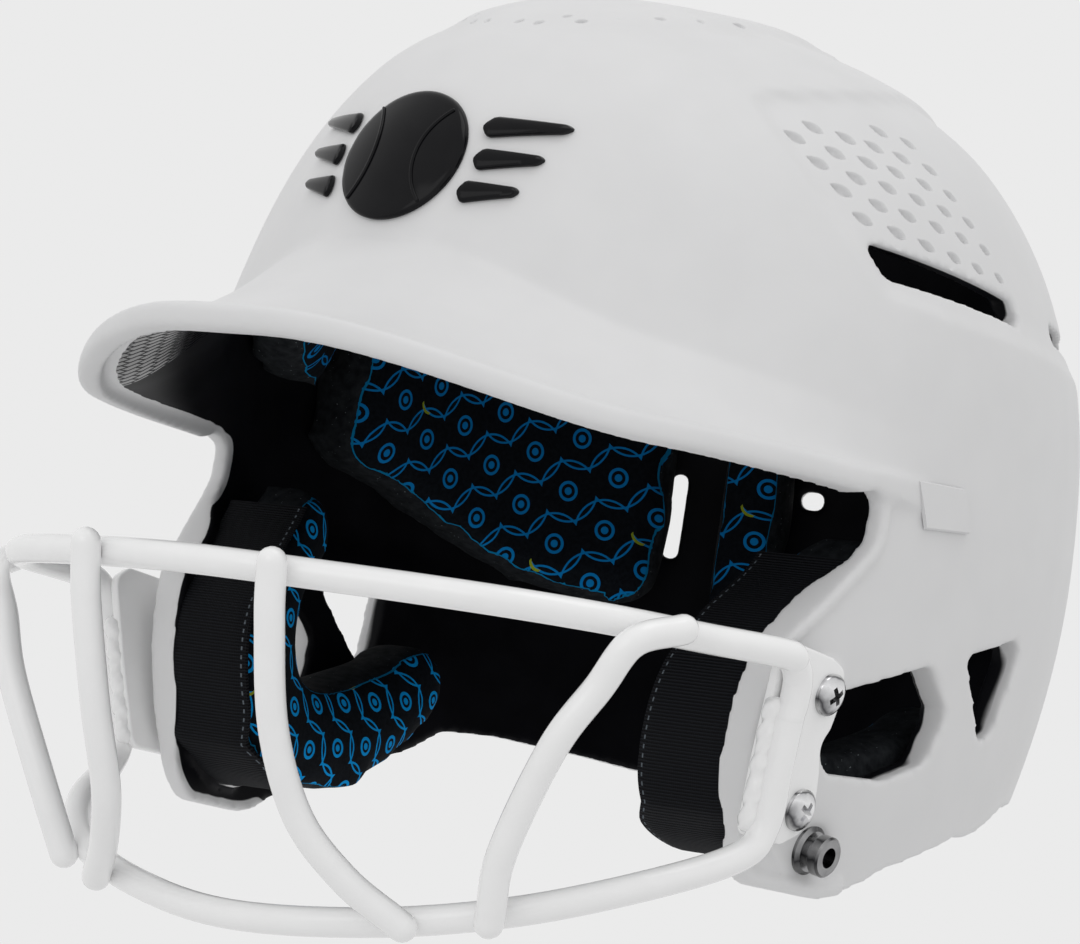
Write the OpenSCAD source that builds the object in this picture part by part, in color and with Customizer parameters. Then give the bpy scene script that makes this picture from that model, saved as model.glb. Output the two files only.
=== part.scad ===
// Softball batting helmet with a wire face guard.
// The front looks along -Y, the wearer's left is +X and up is +Z.
// The pieces are drawn in the frame of the head, with the guard level, and
// seated() then leans the helmet back onto the table, on its guard and nape.

/* [Shell] */
// Half of the shell's width at its widest line
shell_half_w = 108; // [102:1:114]
// Length of the shell from its middle to the forehead
shell_front = 119; // [114:1:124]
// Length of the shell from its middle to the back
shell_rear = 126; // [120:1:132]
// Height of the crown above the widest line
crown_h = 115; // [110:1:120]
// Thickness of the moulded wall
wall = 3.2; // [2.6:0.2:4]
// Depth of the walls round the ear hole and the vents
vent_wall = 8; // [6:0.5:9]
// Length of the brim in front of the forehead
brim_len = 51; // [42:1:58]
// Width of the rolled rim round the brim
rim_w = 6.5; // [5:0.5:8]
// Height of the rolled rim
rim_h = 6.5; // [5:0.5:8]
// Depth of the ear flaps below the widest line
flap_depth = 103; // [99:1:106]
// Depth of the walls behind the side slots
slot_wall = 6.5; // [5:0.5:8]
// Depth of the recessed panels on the sides of the crown
panel_depth = 1.4; // [1:0.2:1.8]
// Height of the raised middle of the crown
ridge_h = 3; // [2:0.5:3.5]
// Half width of the raised middle of the crown
ridge_half_w = 36; // [32:1:40]
// Radius of the rolled edge round the face opening
edge_r = 3; // [2.5:0.1:3.2]

/* [Face guard] */
// Diameter of the coated wire
wire_d = 7; // [6:0.5:8]
// Drop of the upper hoop below the widest line
hoop_drop = 49.5; // [46:0.5:52]
// Reach of the upper hoop in front of the forehead
hoop_reach = 47; // [40:1:52]
// Drop of the lower hoop's lowest point below the upper hoop
guard_h = 78; // [72:0.5:82]
// Reach of the lower hoop in front of the forehead
low_reach = 10.5; // [6:0.5:14]
// Spread of the two inner bars at the upper hoop
inner_bar_w = 51.5; // [46:0.5:64]
// Spread of the inner bars at the lower hoop
inner_low_w = 86; // [80:1:104]
// Spread of the two outer bars at the upper hoop
outer_bar_w = 189; // [182:1:193]
// Spread of the outer bars at the lower hoop
outer_low_w = 124.5; // [116:0.5:132]
// Bow of the outer bars in front of a straight line between their ends
outer_bow = 12; // [8:1:16]
// Thickness of the steel mounting plates
plate_t = 2.5; // [2:0.5:3]

/* [Fasteners] */
// Diameter of the screw heads
screw_head_d = 10.3; // [9:0.1:12]
// Diameter of the screw shanks
screw_d = 4.8; // [4:0.1:5]
// Diameter of the chin strap stud's ring
stud_d = 10; // [9:0.5:11]
// Height of the chin strap stud
stud_h = 6.5; // [5.5:0.5:8]

/* [Padding] */
// Thickness of the liner pads
liner_t = 19; // [15:1:22]
// Thickness of the jaw pads
jaw_t = 21; // [17:1:24]
// Width of the woven bands on the jaw pads
band_w = 22; // [14:1:24]
// Thickness of the woven bands
band_t = 1.4; // [1:0.2:2]

/* [Emblem] */
// Height of the front emblem above the shell
emblem_t = 1.8; // [1.2:0.2:2.4]
// Diameter of the ball in the front emblem
emblem_d = 34; // [28:1:38]
// Width of the whole emblem
emblem_w = 74; // [66:1:80]
// Height of the temple badges above the shell
badge_t = 1.2; // [0.8:0.1:1.6]

/* [Hidden] */

// Clearance between pieces that lie on each other
gap = 0.3;
// Middle of the shell along Y
mid_y = -3;
// Turn between two columns of the shell's surface
col = 6;
// Fullness of the crown's outline in front and behind
round_front = 2.66;
round_rear = 2.26;

// Smooth step from 0 at a to 1 at b
function smooth(a, b, t) = let (k = min(1, max(0, (t - a) / (b - a)))) k * k * (3 - 2 * k);
// Share of the front shape at a turn u, 1 in front and 0 behind
function front_share(u) = (1 + cos(u)) / 2;
function mix(a, b, k) = a + (b - a) * k;

// Shell surface: u is the turn from the front, z the height, inset the depth
// under the outer face
function crown_scale(u, z, inset) =
    let (n = mix(round_rear, round_front, front_share(u)))
    z <= 0 ? 1 : pow(max(0, 1 - pow(z / (crown_h - inset), n)), 1 / n);
function egg(u, z) =
    let (pull = 0.11 * z / sqrt(z * z + 45 * 45))
    1 - mix(-0.025, pull, front_share(u)) * pow(sin(2 * u), 2);
function half_w_at(z) = shell_half_w * (z < 0 ? 1 - 0.227 * pow(z / 130, 2) : 1);
function rear_at(z) = shell_rear * (z < 0 ? 1 - 0.4 * pow(z / 130, 2) : 1);
function surf(u, z, inset = 0, out = 0) =
    let (s = crown_scale(u, z, inset),
         a = (half_w_at(z) - inset) * s + out,
         b = (mix(rear_at(z), shell_front, front_share(u)) - inset) * s + out,
         e = egg(u, z), x = a * sin(u) * e, y = mid_y - b * cos(u) * e)
    [x, y, z - crown_dip(x, y, z, inset)];
// The top is flatter than the rest of the crown, apart from its raised middle,
// which has round ends in front and behind
ridge_front = -30;
ridge_rear = 25;
ridge_end = 57;
function ridge_share(x, y) =
    let (past = max(0, ridge_front - y, y - ridge_rear))
    1 - smooth(0.8, 1.15, pow(x / ridge_half_w, 2) + pow(past / ridge_end, 2));
function crown_dip(x, y, z, inset) =
    ridge_h * smooth(0.74, 0.97, z / crown_h) * (1 - (inset > 2 ? 0 : ridge_share(x, y)));

// Turn at which the left side of the surface has a given y at height z
function turn_at(y, z, lo = 0, hi = 180, n = 16) =
    n == 0 ? (lo + hi) / 2 :
    let (m = (lo + hi) / 2)
    surf(m, z)[1] < y ? turn_at(y, z, m, hi, n - 1) : turn_at(y, z, lo, m, n - 1);
function side_pt(y, z, inset = 0) = surf(turn_at(y, z), z, inset);

// Brim: an oval in plan, and its reach beyond the shell along a ray from the middle
brim_mid = -30;
brim_half_w = shell_half_w - 2;
brim_tip = shell_front - mid_y + brim_len + brim_mid;
function brim_reach(u) =
    let (p = surf(u, 0), d = [p[0], p[1] - mid_y], r = norm(d), k = d / r,
         off = mid_y - brim_mid,
         a = pow(k[0] / brim_half_w, 2) + pow(k[1] / brim_tip, 2),
         b = 2 * off * k[1] / pow(brim_tip, 2),
         c = pow(off / brim_tip, 2) - 1)
    max(0, (sqrt(b * b - 4 * a * c) - b) / (2 * a) - r);
// Heights of the rim's lower edge, its upper crease and the brim's root
function turn_from_front(u) = u > 180 ? 360 - u : u;
function rim_low(u) = mix(2.5, -8, smooth(5, 40, turn_from_front(u)));
function rim_top(u) = rim_low(u) + rim_h;
function brim_rise(u) = 6 + 20 * sqrt(brim_reach(u) / 51);
rim_low_side = -8;

// Point on the outer surface pushed out by a distance along the brim's ray
function pushed(u, z, out, inset = 0) =
    let (p = surf(u, min(z, crown_h - inset - 1), inset), d = [p[0], p[1] - mid_y], k = d / norm(d))
    [p[0] + k[0] * out, p[1] + k[1] * out, z];

// Heights of the rows of the crown, and of the skirt under the rim
crown_turns = [84, 79, 74.5, 70, 65, 60.5, 56, 52, 48, 44, 40, 36, 32.5, 29];
inner_turns = [80, 70, 61, 52, 44, 36, 29];
skirt_rows = [-16, -27, -38, -50, -62, -74, -86, -98, -113];
// Recessed panel on each side of the crown: its sloping front edge, and its depth
panel_low = 39;
panel_slope = 0.463;
function panel_turn(z) = 57 + panel_slope * (64 - min(84, max(43, z)));
function panel_top(t) = 86 + 0.36 * (min(90, t) - 48);
function panel_at(u, z) =
    let (t = turn_from_front(u), past = t - panel_turn(z), top = panel_top(t))
    panel_depth * smooth(0, 4, past) * (1 - smooth(144, 156, t))
    * smooth(panel_low, panel_low + 4, z) * (1 - smooth(top - 4, top, z));
// Extra depth of the wall round the ear holes and the vents, and behind the side slots
function thick_at(u, z) =
    let (t = turn_from_front(u))
    (vent_wall - wall) * smooth(48, 64, t) * (1 - smooth(108, 124, t))
    * smooth(-92, -76, z) * (1 - smooth(-34, -22, z))
    + (slot_wall - wall) * smooth(56, 64, t) * (1 - smooth(134, 142, t))
    * smooth(34, 40, z) * (1 - smooth(54, 62, z))
    + panel_at(u, z);
// Turn of a column at a height: columns near a panel's front edge lean with it
function column_turn(c, z) =
    let (t = turn_from_front(c), near = smooth(30, 50, t) * (1 - smooth(70, 95, t)))
    c + (c > 180 ? -1 : 1) * near * (panel_turn(z) - panel_turn(64));
outer_columns = [for (c = [0 : col : 359]) each
    let (t = turn_from_front(c)) t == 54 || t == 60 ? [c - 1.5, c + 1.5] : [c]];

// Point of the outer face, pressed in where a panel is
function on_panel(c, z) = let (u = column_turn(c, z)) surf(u, z, panel_at(u, z));
// One column of points of the outer face, from the crown down
function outer_col(u) =
    let (reach = brim_reach(u), zt = rim_top(u), zl = rim_low(u), rise = brim_rise(u),
         zr = zt + rise, zd = crown_h * sin(crown_turns[len(crown_turns) - 1]),
         soft = 1.2 * min(1, reach / 5))
    concat(
        [for (a = crown_turns) on_panel(u, crown_h * sin(a))],
        [for (k = [0.87, 0.75, 0.66, 0.33, 0]) on_panel(u, mix(zr, zd, k))],
        [for (t = [0.12, 0.3, 0.55, 0.8]) pushed(u, zt + rise * pow(1 - t, 2), reach * t)],
        [pushed(u, zt, reach - soft), pushed(u, zt - 1.5, reach),
         pushed(u, zl + 1.2, reach), pushed(u, zl, reach - soft), pushed(u, zl - 1, 0)],
        [for (z = skirt_rows) surf(u, z)]
    );
// One column of points of the inner face
function inner_col(u) =
    let (reach = brim_reach(u), zt = rim_top(u) - wall, rise = brim_rise(u),
         hollow = max(0, reach - rim_w + wall), zr = zt + rise,
         zd = (crown_h - wall) * sin(inner_turns[len(inner_turns) - 1]))
    concat(
        [for (a = inner_turns) let (z = (crown_h - wall) * sin(a)) surf(u, z, wall + thick_at(u, z))],
        [for (k = [0.83, 0.66, 0.5, 0.25]) let (z = mix(zr, zd, k)) surf(u, z, wall + thick_at(u, z))],
        [for (t = [0, 0.3, 0.65, 1]) pushed(u, zt + rise * pow(1 - t, 2), hollow * t, wall)],
        [pushed(u, rim_low_side - 4, hollow, wall), pushed(u, rim_low_side - 6, 0, wall)],
        [for (z = skirt_rows) let (z2 = z < -100 ? z - 4 : z) surf(u, z2, wall + thick_at(u, z))]
    );

// Closed solid from columns of points that all run down from one top point
module turned_skin(top, cols) {
    n = len(cols);
    m = len(cols[0]);
    last = cols[0][m - 1];
    pts = concat([top, [0, 0, last[2]]], [for (c = cols, p = c) p]);
    faces = concat(
        [for (i = [0 : n - 1]) [0, 2 + ((i + 1) % n) * m, 2 + i * m]],
        [for (i = [0 : n - 1], j = [0 : m - 2]) let (a = 2 + i * m + j, b = 2 + ((i + 1) % n) * m + j)
            [a, b, b + 1]],
        [for (i = [0 : n - 1], j = [0 : m - 2]) let (a = 2 + i * m + j, b = 2 + ((i + 1) % n) * m + j)
            [a, b + 1, a + 1]],
        [for (i = [0 : n - 1]) [1, 2 + i * m + m - 1, 2 + ((i + 1) % n) * m + m - 1]]
    );
    polyhedron(pts, faces);
}

// Outline with its corners rounded to radius r, or to a list of radii
function corner(p, q, s, r, n = 5) =
    let (d1 = (p - q) / norm(p - q), d2 = (s - q) / norm(s - q),
         half = acos(min(1, max(-1, d1 * d2))) / 2,
         reach = min(r / tan(half), 0.45 * min(norm(p - q), norm(s - q))),
         rr = reach * tan(half),
         mid = q + (d1 + d2) / norm(d1 + d2) * rr / sin(half),
         a = q + d1 * reach - mid, b = q + d2 * reach - mid,
         turn = 180 - 2 * half, side = a[0] * b[1] - a[1] * b[0] > 0 ? 1 : -1)
    [for (k = [0 : n]) let (t = side * turn * k / n)
        mid + [a[0] * cos(t) - a[1] * sin(t), a[0] * sin(t) + a[1] * cos(t)]];
function rounded(pts, r) =
    let (n = len(pts))
    [for (i = [0 : n - 1])
        let (ri = is_list(r) ? r[i] : r)
        each (ri > 0 ? corner(pts[(i + n - 1) % n], pts[i], pts[(i + 1) % n], ri) : [pts[i]])];

// Prism along X from an outline in y and z
module across(pts, x1, x2) {
    translate([x1, 0, 0])
        rotate([90, 0, 90])
            linear_extrude(x2 - x1)
                polygon(pts);
}

// Side view outlines, each as [y, z]
// What is cut away in front of the flaps and under them
flap_z = -flap_depth;
nape_z = -75;
under_cut = [
    [-230, rim_low_side - 1], [-57, rim_low_side - 1], [-49, -6.5], [-44.8, -9.5], [-44.9, -18],
    [-47.5, -22], [-71, -46], [-74.5, -58], [-75.2, -67], [-72, -82], [-66, flap_z + 6],
    [-59, flap_z + 0.7], [-30, flap_z], [-22, flap_z + 1.8], [-11, flap_z + 7], [-8.5, flap_z + 9],
    [17, -84.5], [21, -82.5], [28, -82], [37, -78.5], [50, -72], [66, -71], [84, -72.5],
    [97, nape_z], [150, nape_z], [150, -150], [-230, -150]
];
under_round = [0, 8, 4, 4, 7, 7, 9, 12, 12, 12, 10, 8, 8, 6, 3, 3, 4, 4, 5, 8, 12, 14, 10, 10, 0, 0, 0];
ear_hole = [[-46, -55], [-14, -43.5], [-2, -54], [-5, -66.5], [-20, -72.6], [-42, -73.6], [-48, -65]];
side_vent = [[0, -39.6], [28.5, -30.6], [23.2, -55.5], [17, -58.6]];
front_slot = [[-47.5, 53], [6, 49.2], [10.5, 43], [-42, 44.8]];
rear_slot = [[34, 48.8], [72, 49.6], [78, 43.6], [36, 44.4]];

// Rolled edge round the face opening, from the brim down the front of a flap to its heel
edge_sides = 8;
edge_sink = 2.2;
edge_trim = 0.6;
edge_first = 14;
edge_last = 78;
edge_line = let (all = rounded(under_cut, under_round)) [for (i = [edge_first : 2 : edge_last]) all[i]];
module face_edge() {
    n = len(edge_line);
    lofted([for (i = [0 : n - 1])
        let (d = edge_line[min(n - 1, i + 1)] - edge_line[max(0, i - 1)], k = d / norm(d),
             p = edge_line[i] + (edge_r - edge_trim) * [-k[1], k[0]])
        [for (j = [0 : edge_sides - 1])
            let (a = 360 * (j + 0.5) / edge_sides, q = p + edge_r * cos(a) * [-k[1], k[0]])
            side_pt(q[0], q[1], edge_sink - edge_r * sin(a))]]);
}

// Flat seat of the guard plates: its slope, and its place in x at the upper screw
seat_slope = 11.3;
screw_at = [[-53.9, -55.3], [-50.8, -82.6]];
stud_at = [-38, -91.8];
seat_x = side_pt(-45, screw_at[0][1])[0] + 0.3;
// Place a child on the plane of the left plate's inner face, +Z pointing outward
module on_seat(y, z) {
    translate([seat_x, y, screw_at[0][1]])
        rotate([0, 90 + seat_slope, 0])
            translate([-(z - screw_at[0][1]) / cos(seat_slope), 0, 0])
                children();
}
// Outline on the seat plane, from [y, z] to the plane's own x and y
function on_plane(pts) = [for (p = pts) [-(p[1] - screw_at[0][1]) / cos(seat_slope), p[0]]];
module seat_sheet(pts, low, high) {
    translate([seat_x, 0, screw_at[0][1]])
        rotate([0, 90 + seat_slope, 0])
            translate([0, 0, low])
                linear_extrude(high - low)
                    polygon(on_plane(pts));
}
seat_outline = [[-59, -48.5], [-47, -48.5], [-44.5, -55], [-48, -63], [-44, -76], [-35, -84],
    [-30, -92], [-33, -98], [-44, -98], [-58, -91], [-61, -70]];
plate_outline = [[-77.5, -49], [-72, -45.7], [-56, -47], [-50, -49], [-47.5, -55], [-48, -63], [-50, -67],
    [-47, -73], [-44.5, -80], [-46, -88], [-53, -91.5], [-70, -91], [-74, -72]];
seat_back = 8;

module both_sides() {
    children();
    mirror([1, 0, 0]) children();
}

// Point between two others on a smooth curve through a list of points
function along(pts, i, t) =
    let (n = len(pts), p1 = pts[i], p2 = pts[min(n - 1, i + 1)],
         p0 = i > 0 ? pts[i - 1] : 2 * p1 - p2,
         p3 = i + 2 < n ? pts[i + 2] : 2 * p2 - p1)
    0.5 * (2 * p1 + (p2 - p0) * t + (2 * p0 - 5 * p1 + 4 * p2 - p3) * t * t
        + (3 * p1 - p0 - 3 * p2 + p3) * pow(t, 3));
function curve(pts, n) =
    concat([for (i = [0 : len(pts) - 2], k = [0 : n - 1]) along(pts, i, k / n)], [pts[len(pts) - 1]]);
function reversed(pts) = [for (i = [len(pts) - 1 : -1 : 0]) pts[i]];
function mirrored(p) = [-p[0], p[1], p[2]];
// Whole hoop from its left half, which starts on the middle line
function whole(half) = concat([for (i = [len(half) - 1 : -1 : 1]) mirrored(half[i])], half);

// Closed solid through a row of loops, each turning right-handed about the way they run
module lofted(loops) {
    n = len(loops);
    m = len(loops[0]);
    function centre(l) = [for (k = [0 : 2]) [for (p = l) p[k]] * [for (p = l) 1] / len(l)];
    pts = concat([centre(loops[0]), centre(loops[n - 1])], [for (l = loops, p = l) p]);
    faces = concat(
        [for (j = [0 : m - 1]) [0, 2 + j, 2 + (j + 1) % m]],
        [for (i = [0 : n - 2], j = [0 : m - 1])
            let (a = 2 + i * m + j, b = 2 + i * m + (j + 1) % m) each [[a, a + m, b + m], [a, b + m, b]]],
        [for (j = [0 : m - 1]) let (e = 2 + (n - 1) * m) [1, e + (j + 1) % m, e + j]]
    );
    polyhedron(pts, faces);
}

// Loops of a round wire along a path, square at its ends or rounded
wire_sides = 12;
function unit(v) = v / norm(v);
function wire_ring(path, i, ahead, r) =
    let (n = len(path),
         t = unit(path[min(n - 1, i + 1)] - path[max(0, i - 1)]),
         out = [path[i][0], path[i][1] - mid_y, 0],
         e1 = unit(out - (out * t) * t), e2 = cross(t, e1))
    [for (k = [0 : wire_sides - 1]) let (a = 360 * k / wire_sides)
        path[i] + t * ahead + r * (cos(a) * e1 + sin(a) * e2)];
function wire_loops(path, round_ends = false) =
    let (r = wire_d / 2, last = len(path) - 1, turns = round_ends ? [75, 50, 25] : [])
    concat(
        [for (a = turns) wire_ring(path, 0, -r * sin(a), r * cos(a))],
        [for (i = [0 : last]) wire_ring(path, i, 0, r)],
        [for (a = reversed(turns)) wire_ring(path, last, r * sin(a), r * cos(a))]
    );

// Guard: heights, reaches and the place of the side legs on the plates
hoop_z = -hoop_drop;
hoop_low = hoop_z - guard_h;
tip_y = mid_y - shell_front - hoop_reach;
low_tip_y = mid_y - shell_front - low_reach;
leg_y = -72.5;
leg_slope = 0.175;
weld_gap = 0.2;
function wire_x(z) =
    seat_x + (z - screw_at[0][1]) * tan(seat_slope) + (plate_t + weld_gap + wire_d / 2) / cos(seat_slope);
// Left half of the upper hoop: each point's x and its share of the way from the leg to the tip
upper_shares = [[0, 1], [34, 0.918], [68, 0.763], [88, 0.57], [99, 0.293]];
bend_r = 10;
upper_half = concat(
    [for (p = upper_shares) [p[0], mix(leg_y, tip_y, p[1]), hoop_z]],
    [for (a = [0, 30, 60, 90]) let (z = hoop_z - bend_r * (1 - cos(a)))
        [wire_x(z), leg_y - bend_r * (1 - sin(a)), z]]
);
join_z = hoop_z - bend_r - 3;
// Left half of the lower hoop: each point's x, and its shares of the way out and down
lower_shares = [[0, 1, 1], [35, 0.874, 0.958], [65, 0.676, 0.865], [86, 0.361, 0.735], [97, 0.012, 0.605]];
function leg_y_at(z) = leg_y + leg_slope * (join_z - z);
lower_half = concat(
    [for (p = lower_shares) [p[0], mix(leg_y, low_tip_y, p[1]), hoop_z - guard_h * p[2]]],
    [for (z = [hoop_z - 0.5 * guard_h, hoop_z - 0.33 * guard_h, join_z - gap]) [wire_x(z), leg_y_at(z), z]]
);
upper_path = curve(whole(concat(upper_half, [[wire_x(join_z), leg_y, join_z]])), 3);
lower_path = curve(whole(lower_half), 3);
// Point on a hoop at a given x, and the same point moved out in front by one wire
function on_hoop(path, x) =
    [x, lookup(x, [for (p = path) [p[0], p[1]]]), lookup(x, [for (p = path) [p[0], p[2]]])];
function before_hoop(path, x) =
    let (d = unit(on_hoop(path, x + 2) - on_hoop(path, x - 2)), side = unit([-d[1], d[0], 0]))
    on_hoop(path, x) - (wire_d + weld_gap) * side;
// How far the bars' straight ends run past the middle of each hoop
past_top = 1;
past_low = 2.5;
// A bar's path from a to b through the points between them, with straight ends that run on
function bar_path(a, mids, b) =
    let (up = unit(a - mids[0]), down = unit(b - mids[len(mids) - 1]))
    curve(concat([a + past_top * up], mids, [b, b + past_low * down]), 4);
// Inner bars: [x, y, z] shares of the way between their ends
inner_top = before_hoop(upper_path, inner_bar_w / 2);
inner_low = before_hoop(lower_path, inner_low_w / 2);
inner_path = bar_path(inner_top,
    [for (s = [[-0.02, 0.066, 0.166], [-0.06, 0.26, 0.48], [0.07, 0.525, 0.736], [0.5, 0.78, 0.9]])
        [for (k = [0 : 2]) mix(inner_top[k], inner_low[k], s[k])]],
    inner_low);
// Outer bars: each turns down off the upper hoop, then bows out in front, by
// [x share of the way, y and z share of the way, share of the bow]
outer_turn_x = 4;
outer_turn_z = 4.5;
outer_top = before_hoop(upper_path, outer_bar_w / 2);
outer_low = before_hoop(lower_path, outer_low_w / 2);
outer_turn = before_hoop(upper_path, outer_bar_w / 2 - outer_turn_x) - [0, 0, outer_turn_z];
outer_mids = [for (s = [[0.306, 0.227, 0.9], [0.534, 0.44, 1], [0.874, 0.797, 0.53]])
    [mix(outer_top[0], outer_low[0], s[0]),
     mix(outer_top[1], outer_low[1], s[1]) - outer_bow * s[2],
     mix(outer_top[2], outer_low[2], s[1])]];
outer_path = bar_path(outer_top, concat([outer_turn], outer_mids), outer_low);
inner_loops = wire_loops(inner_path, true);
outer_loops = wire_loops(outer_path, true);
lower_loops = wire_loops(lower_path);
upper_loops = wire_loops(upper_path);

// Lean of the helmet on a table: the middle of the lower hoop and the nape lie on it together
nape_y = mid_y + rear_at(nape_z);
function lean_for(a) =
    atan((nape_z - hoop_low + wire_d / 2 * cos(a)) / (nape_y - low_tip_y - wire_d / 2 * sin(a)));
lean = lean_for(lean_for(13));
function leaned(p) = [p[0], p[1] * cos(lean) + p[2] * sin(lean), p[2] * cos(lean) - p[1] * sin(lean)];
function leaned_all(loops, k) = [for (l = loops, p = l) leaned(p)[k]];
front_end = min(concat(leaned_all(upper_loops, 1), leaned_all(inner_loops, 1),
    leaned_all([outer_col(0)], 1)));
back_end = max(leaned_all([outer_col(180)], 1));
lift = -min(concat(leaned_all(lower_loops, 2), leaned_all(inner_loops, 2),
    [leaned([0, nape_y, nape_z])[2]]));
module seated() {
    translate([0, -(front_end + back_end) / 2, lift])
        rotate([-lean, 0, 0])
            children();
}

// Cut through the back of the shell along a ray at a turn u, from an outline across and up
module rear_cut(u, pts) {
    translate([0, mid_y, 0])
        rotate([90, 0, 180 + u])
            translate([0, 0, -150])
                linear_extrude(70)
                    polygon(pts);
}

module shell() {
    color("white") seated() {
        difference() {
            union() {
                difference() {
                    turned_skin([0, mid_y, crown_h], [for (c = outer_columns) outer_col(c)]);
                    turned_skin([0, mid_y, crown_h - ridge_h - wall],
                        [for (u = [0 : col : 359]) inner_col(u)]);
                }
                both_sides() {
                    seat_sheet(rounded(seat_outline, 5), -seat_back, 0);
                    face_edge();
                }
            }
            across(rounded(under_cut, under_round), -140, 140);
            across(rounded(ear_hole, [4, 4, 4, 5, 5, 5, 5]), -140, 140);
            across(rounded(side_vent, [2, 4, 3, 3]), -140, 140);
            across(rounded(front_slot, [3, 2, 2, 3]), -140, 140);
            across(rounded(rear_slot, [2, 2, 3, 2]), -140, 140);
            both_sides() {
                rear_cut(151, rounded([[-2.6, -13], [2.6, -13], [2.6, 11], [-2.6, 11]], 2.4));
                rear_cut(169, rounded([[-3.5, 6], [3.5, 6], [3.5, 11], [-3.5, 11]], 1.5));
                for (s = screw_at)
                    on_seat(s[0], s[1]) {
                        cylinder(d = nut_barrel_d + 2 * nut_gap, h = 40, center = true);
                        translate([0, 0, -seat_back - 12]) cylinder(d = nut_flange_d + 0.6, h = 12);
                    }
                on_seat(stud_at[0], stud_at[1]) {
                    cylinder(d = stud_shank_d + 0.4, h = 40, center = true);
                    cylinder(d = stud_flange_d + 1, h = 8);
                    translate([0, 0, -stud_wall - 12]) cylinder(d = stud_flange_d + 0.3, h = 12);
                }
            }
        }
    }
}

// Raised emblem on the forehead: a plain ball with three bars on each side
emblem_z = 56;
// Point on the front of the shell by its x and z, raised by h
function face_pt(x, z, h) =
    let (w = half_w_at(z) * crown_scale(0, z, 0), u = asin(x / w), p = surf(u, z, -h))
    x == 0 ? p : surf(asin(sin(u) * x / p[0]), z, -h);
module front_emblem() {
    r = emblem_d / 2;
    rings = [[0.3 * r, gap], [0.7 * r, gap], [r, gap], [r, emblem_t * 0.6], [0.93 * r, emblem_t * 0.9],
        [0.6 * r, emblem_t + 0.6], [0.3 * r, emblem_t + 0.8]];
    color("black") seated() {
        lofted([for (g = rings)
            [for (a = [0 : 15 : 345]) face_pt(g[0] * cos(a), emblem_z + g[0] * sin(a), g[1])]]);
        for (side = [-1, 1], k = [-1, 0, 1])
            let (x1 = emblem_d / 2 + 2.5 + (k == 0 ? 1 : 0), x2 = emblem_w / 2 - 5 * (1 - k) / 2,
                 z = emblem_z + 8.5 * k)
            lofted([for (i = [0 : 4])
                let (x = side > 0 ? mix(x1, x2, i / 4) : -mix(x2, x1, i / 4),
                     half = mix(2.8, 1.1, (abs(x) - x1) / (x2 - x1)), rise = 0.12 * (abs(x) - x1))
                [face_pt(x, z + rise + half * 0.7, emblem_t), face_pt(x, z + rise - half * 0.7, emblem_t),
                 face_pt(x, z + rise - half, gap), face_pt(x, z + rise + half, gap)]]);
    }
}

// Bare raised plate at each temple: its corners as [y, z]
badge = [[-33.8, -1.5], [-17.2, -0.7], [-12.2, -11], [-29, -12.6]];
module temple_badge() {
    color("white") seated()
        lofted([for (i = [0 : 4])
            let (t = i / 4, a = mix(badge[0], badge[1], t), b = mix(badge[3], badge[2], t))
            concat(
                [for (k = [0 : 0.25 : 1]) let (p = mix(a, b, k)) side_pt(p[0], p[1], -gap)],
                [for (k = [0.96, 0.7, 0.4, 0.04]) let (p = mix(a, b, k)) side_pt(p[0], p[1], -gap - badge_t)]
            )]);
}

module guard_wire(loops) {
    color("white") seated() lofted(loops);
}

module guard_plate() {
    color("white") seated()
        difference() {
            seat_sheet(rounded(plate_outline, 4), 0, plate_t);
            for (s = screw_at) on_seat(s[0], s[1]) cylinder(d = screw_d + 0.4, h = 20, center = true);
        }
}

// Fasteners
nut_barrel_d = 6.5;
nut_gap = 0.25;
nut_flange_d = 14;
nut_flange_t = 1.3;
nut_l = seat_back - 1.5;
stud_shank_d = 4;
stud_wall = 6.3;
head_h = 2.6;
module guard_screws() {
    r = screw_head_d / 2;
    color("silver") seated() both_sides() for (s = screw_at) on_seat(s[0], s[1])
        translate([0, 0, plate_t])
            difference() {
                rotate_extrude($fn = 32)
                    polygon([[0, head_h], [0.35 * r, head_h - 0.1], [0.66 * r, head_h - 0.5],
                        [0.88 * r, head_h - 1.2], [0.98 * r, 0.6], [0.98 * r, 0], [screw_d / 2, 0],
                        [screw_d / 2, -plate_t - nut_l + 0.6], [screw_d / 2 - 0.6, -plate_t - nut_l],
                        [0, -plate_t - nut_l]]);
                for (a = [45, 135]) rotate(a) translate([-0.5 * r, -0.6, head_h - 1.4]) cube([r, 1.2, 2]);
            }
}
module guard_t_nuts() {
    color("silver") seated() both_sides() for (s = screw_at) on_seat(s[0], s[1])
        translate([0, 0, -seat_back])
            difference() {
                union() {
                    translate([0, 0, -nut_flange_t]) cylinder(d = nut_flange_d, h = nut_flange_t);
                    cylinder(d = nut_barrel_d, h = nut_l);
                }
                translate([0, 0, -5]) cylinder(d = screw_d + 0.4, h = nut_l + 10);
            }
}
// Snap stud for a chin strap: flange, neck and ring, with a hollow middle
stud_flange_d = stud_d + 2;
washer_t = 1.2;
module chin_stud() {
    color("dimgray") seated() on_seat(stud_at[0], stud_at[1])
        rotate_extrude($fn = 48)
            polygon([[stud_d / 4, stud_h], [stud_d / 2 - 0.5, stud_h], [stud_d / 2, stud_h - 0.5],
                [stud_d / 2, stud_h - 2.7], [stud_d / 2 - 1.4, stud_h - 3.3], [stud_d / 2 - 1.4, 1.7],
                [stud_flange_d / 2 - 1, 1.6], [stud_flange_d / 2, 0.8], [stud_flange_d / 2, 0],
                [stud_shank_d / 2, 0], [stud_shank_d / 2, -stud_wall - washer_t],
                [stud_shank_d / 2 - 0.8, -stud_wall - washer_t - 0.5], [0, -stud_wall - washer_t - 0.5],
                [0, 1.2], [stud_d / 4, 1.2]]);
}
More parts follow.
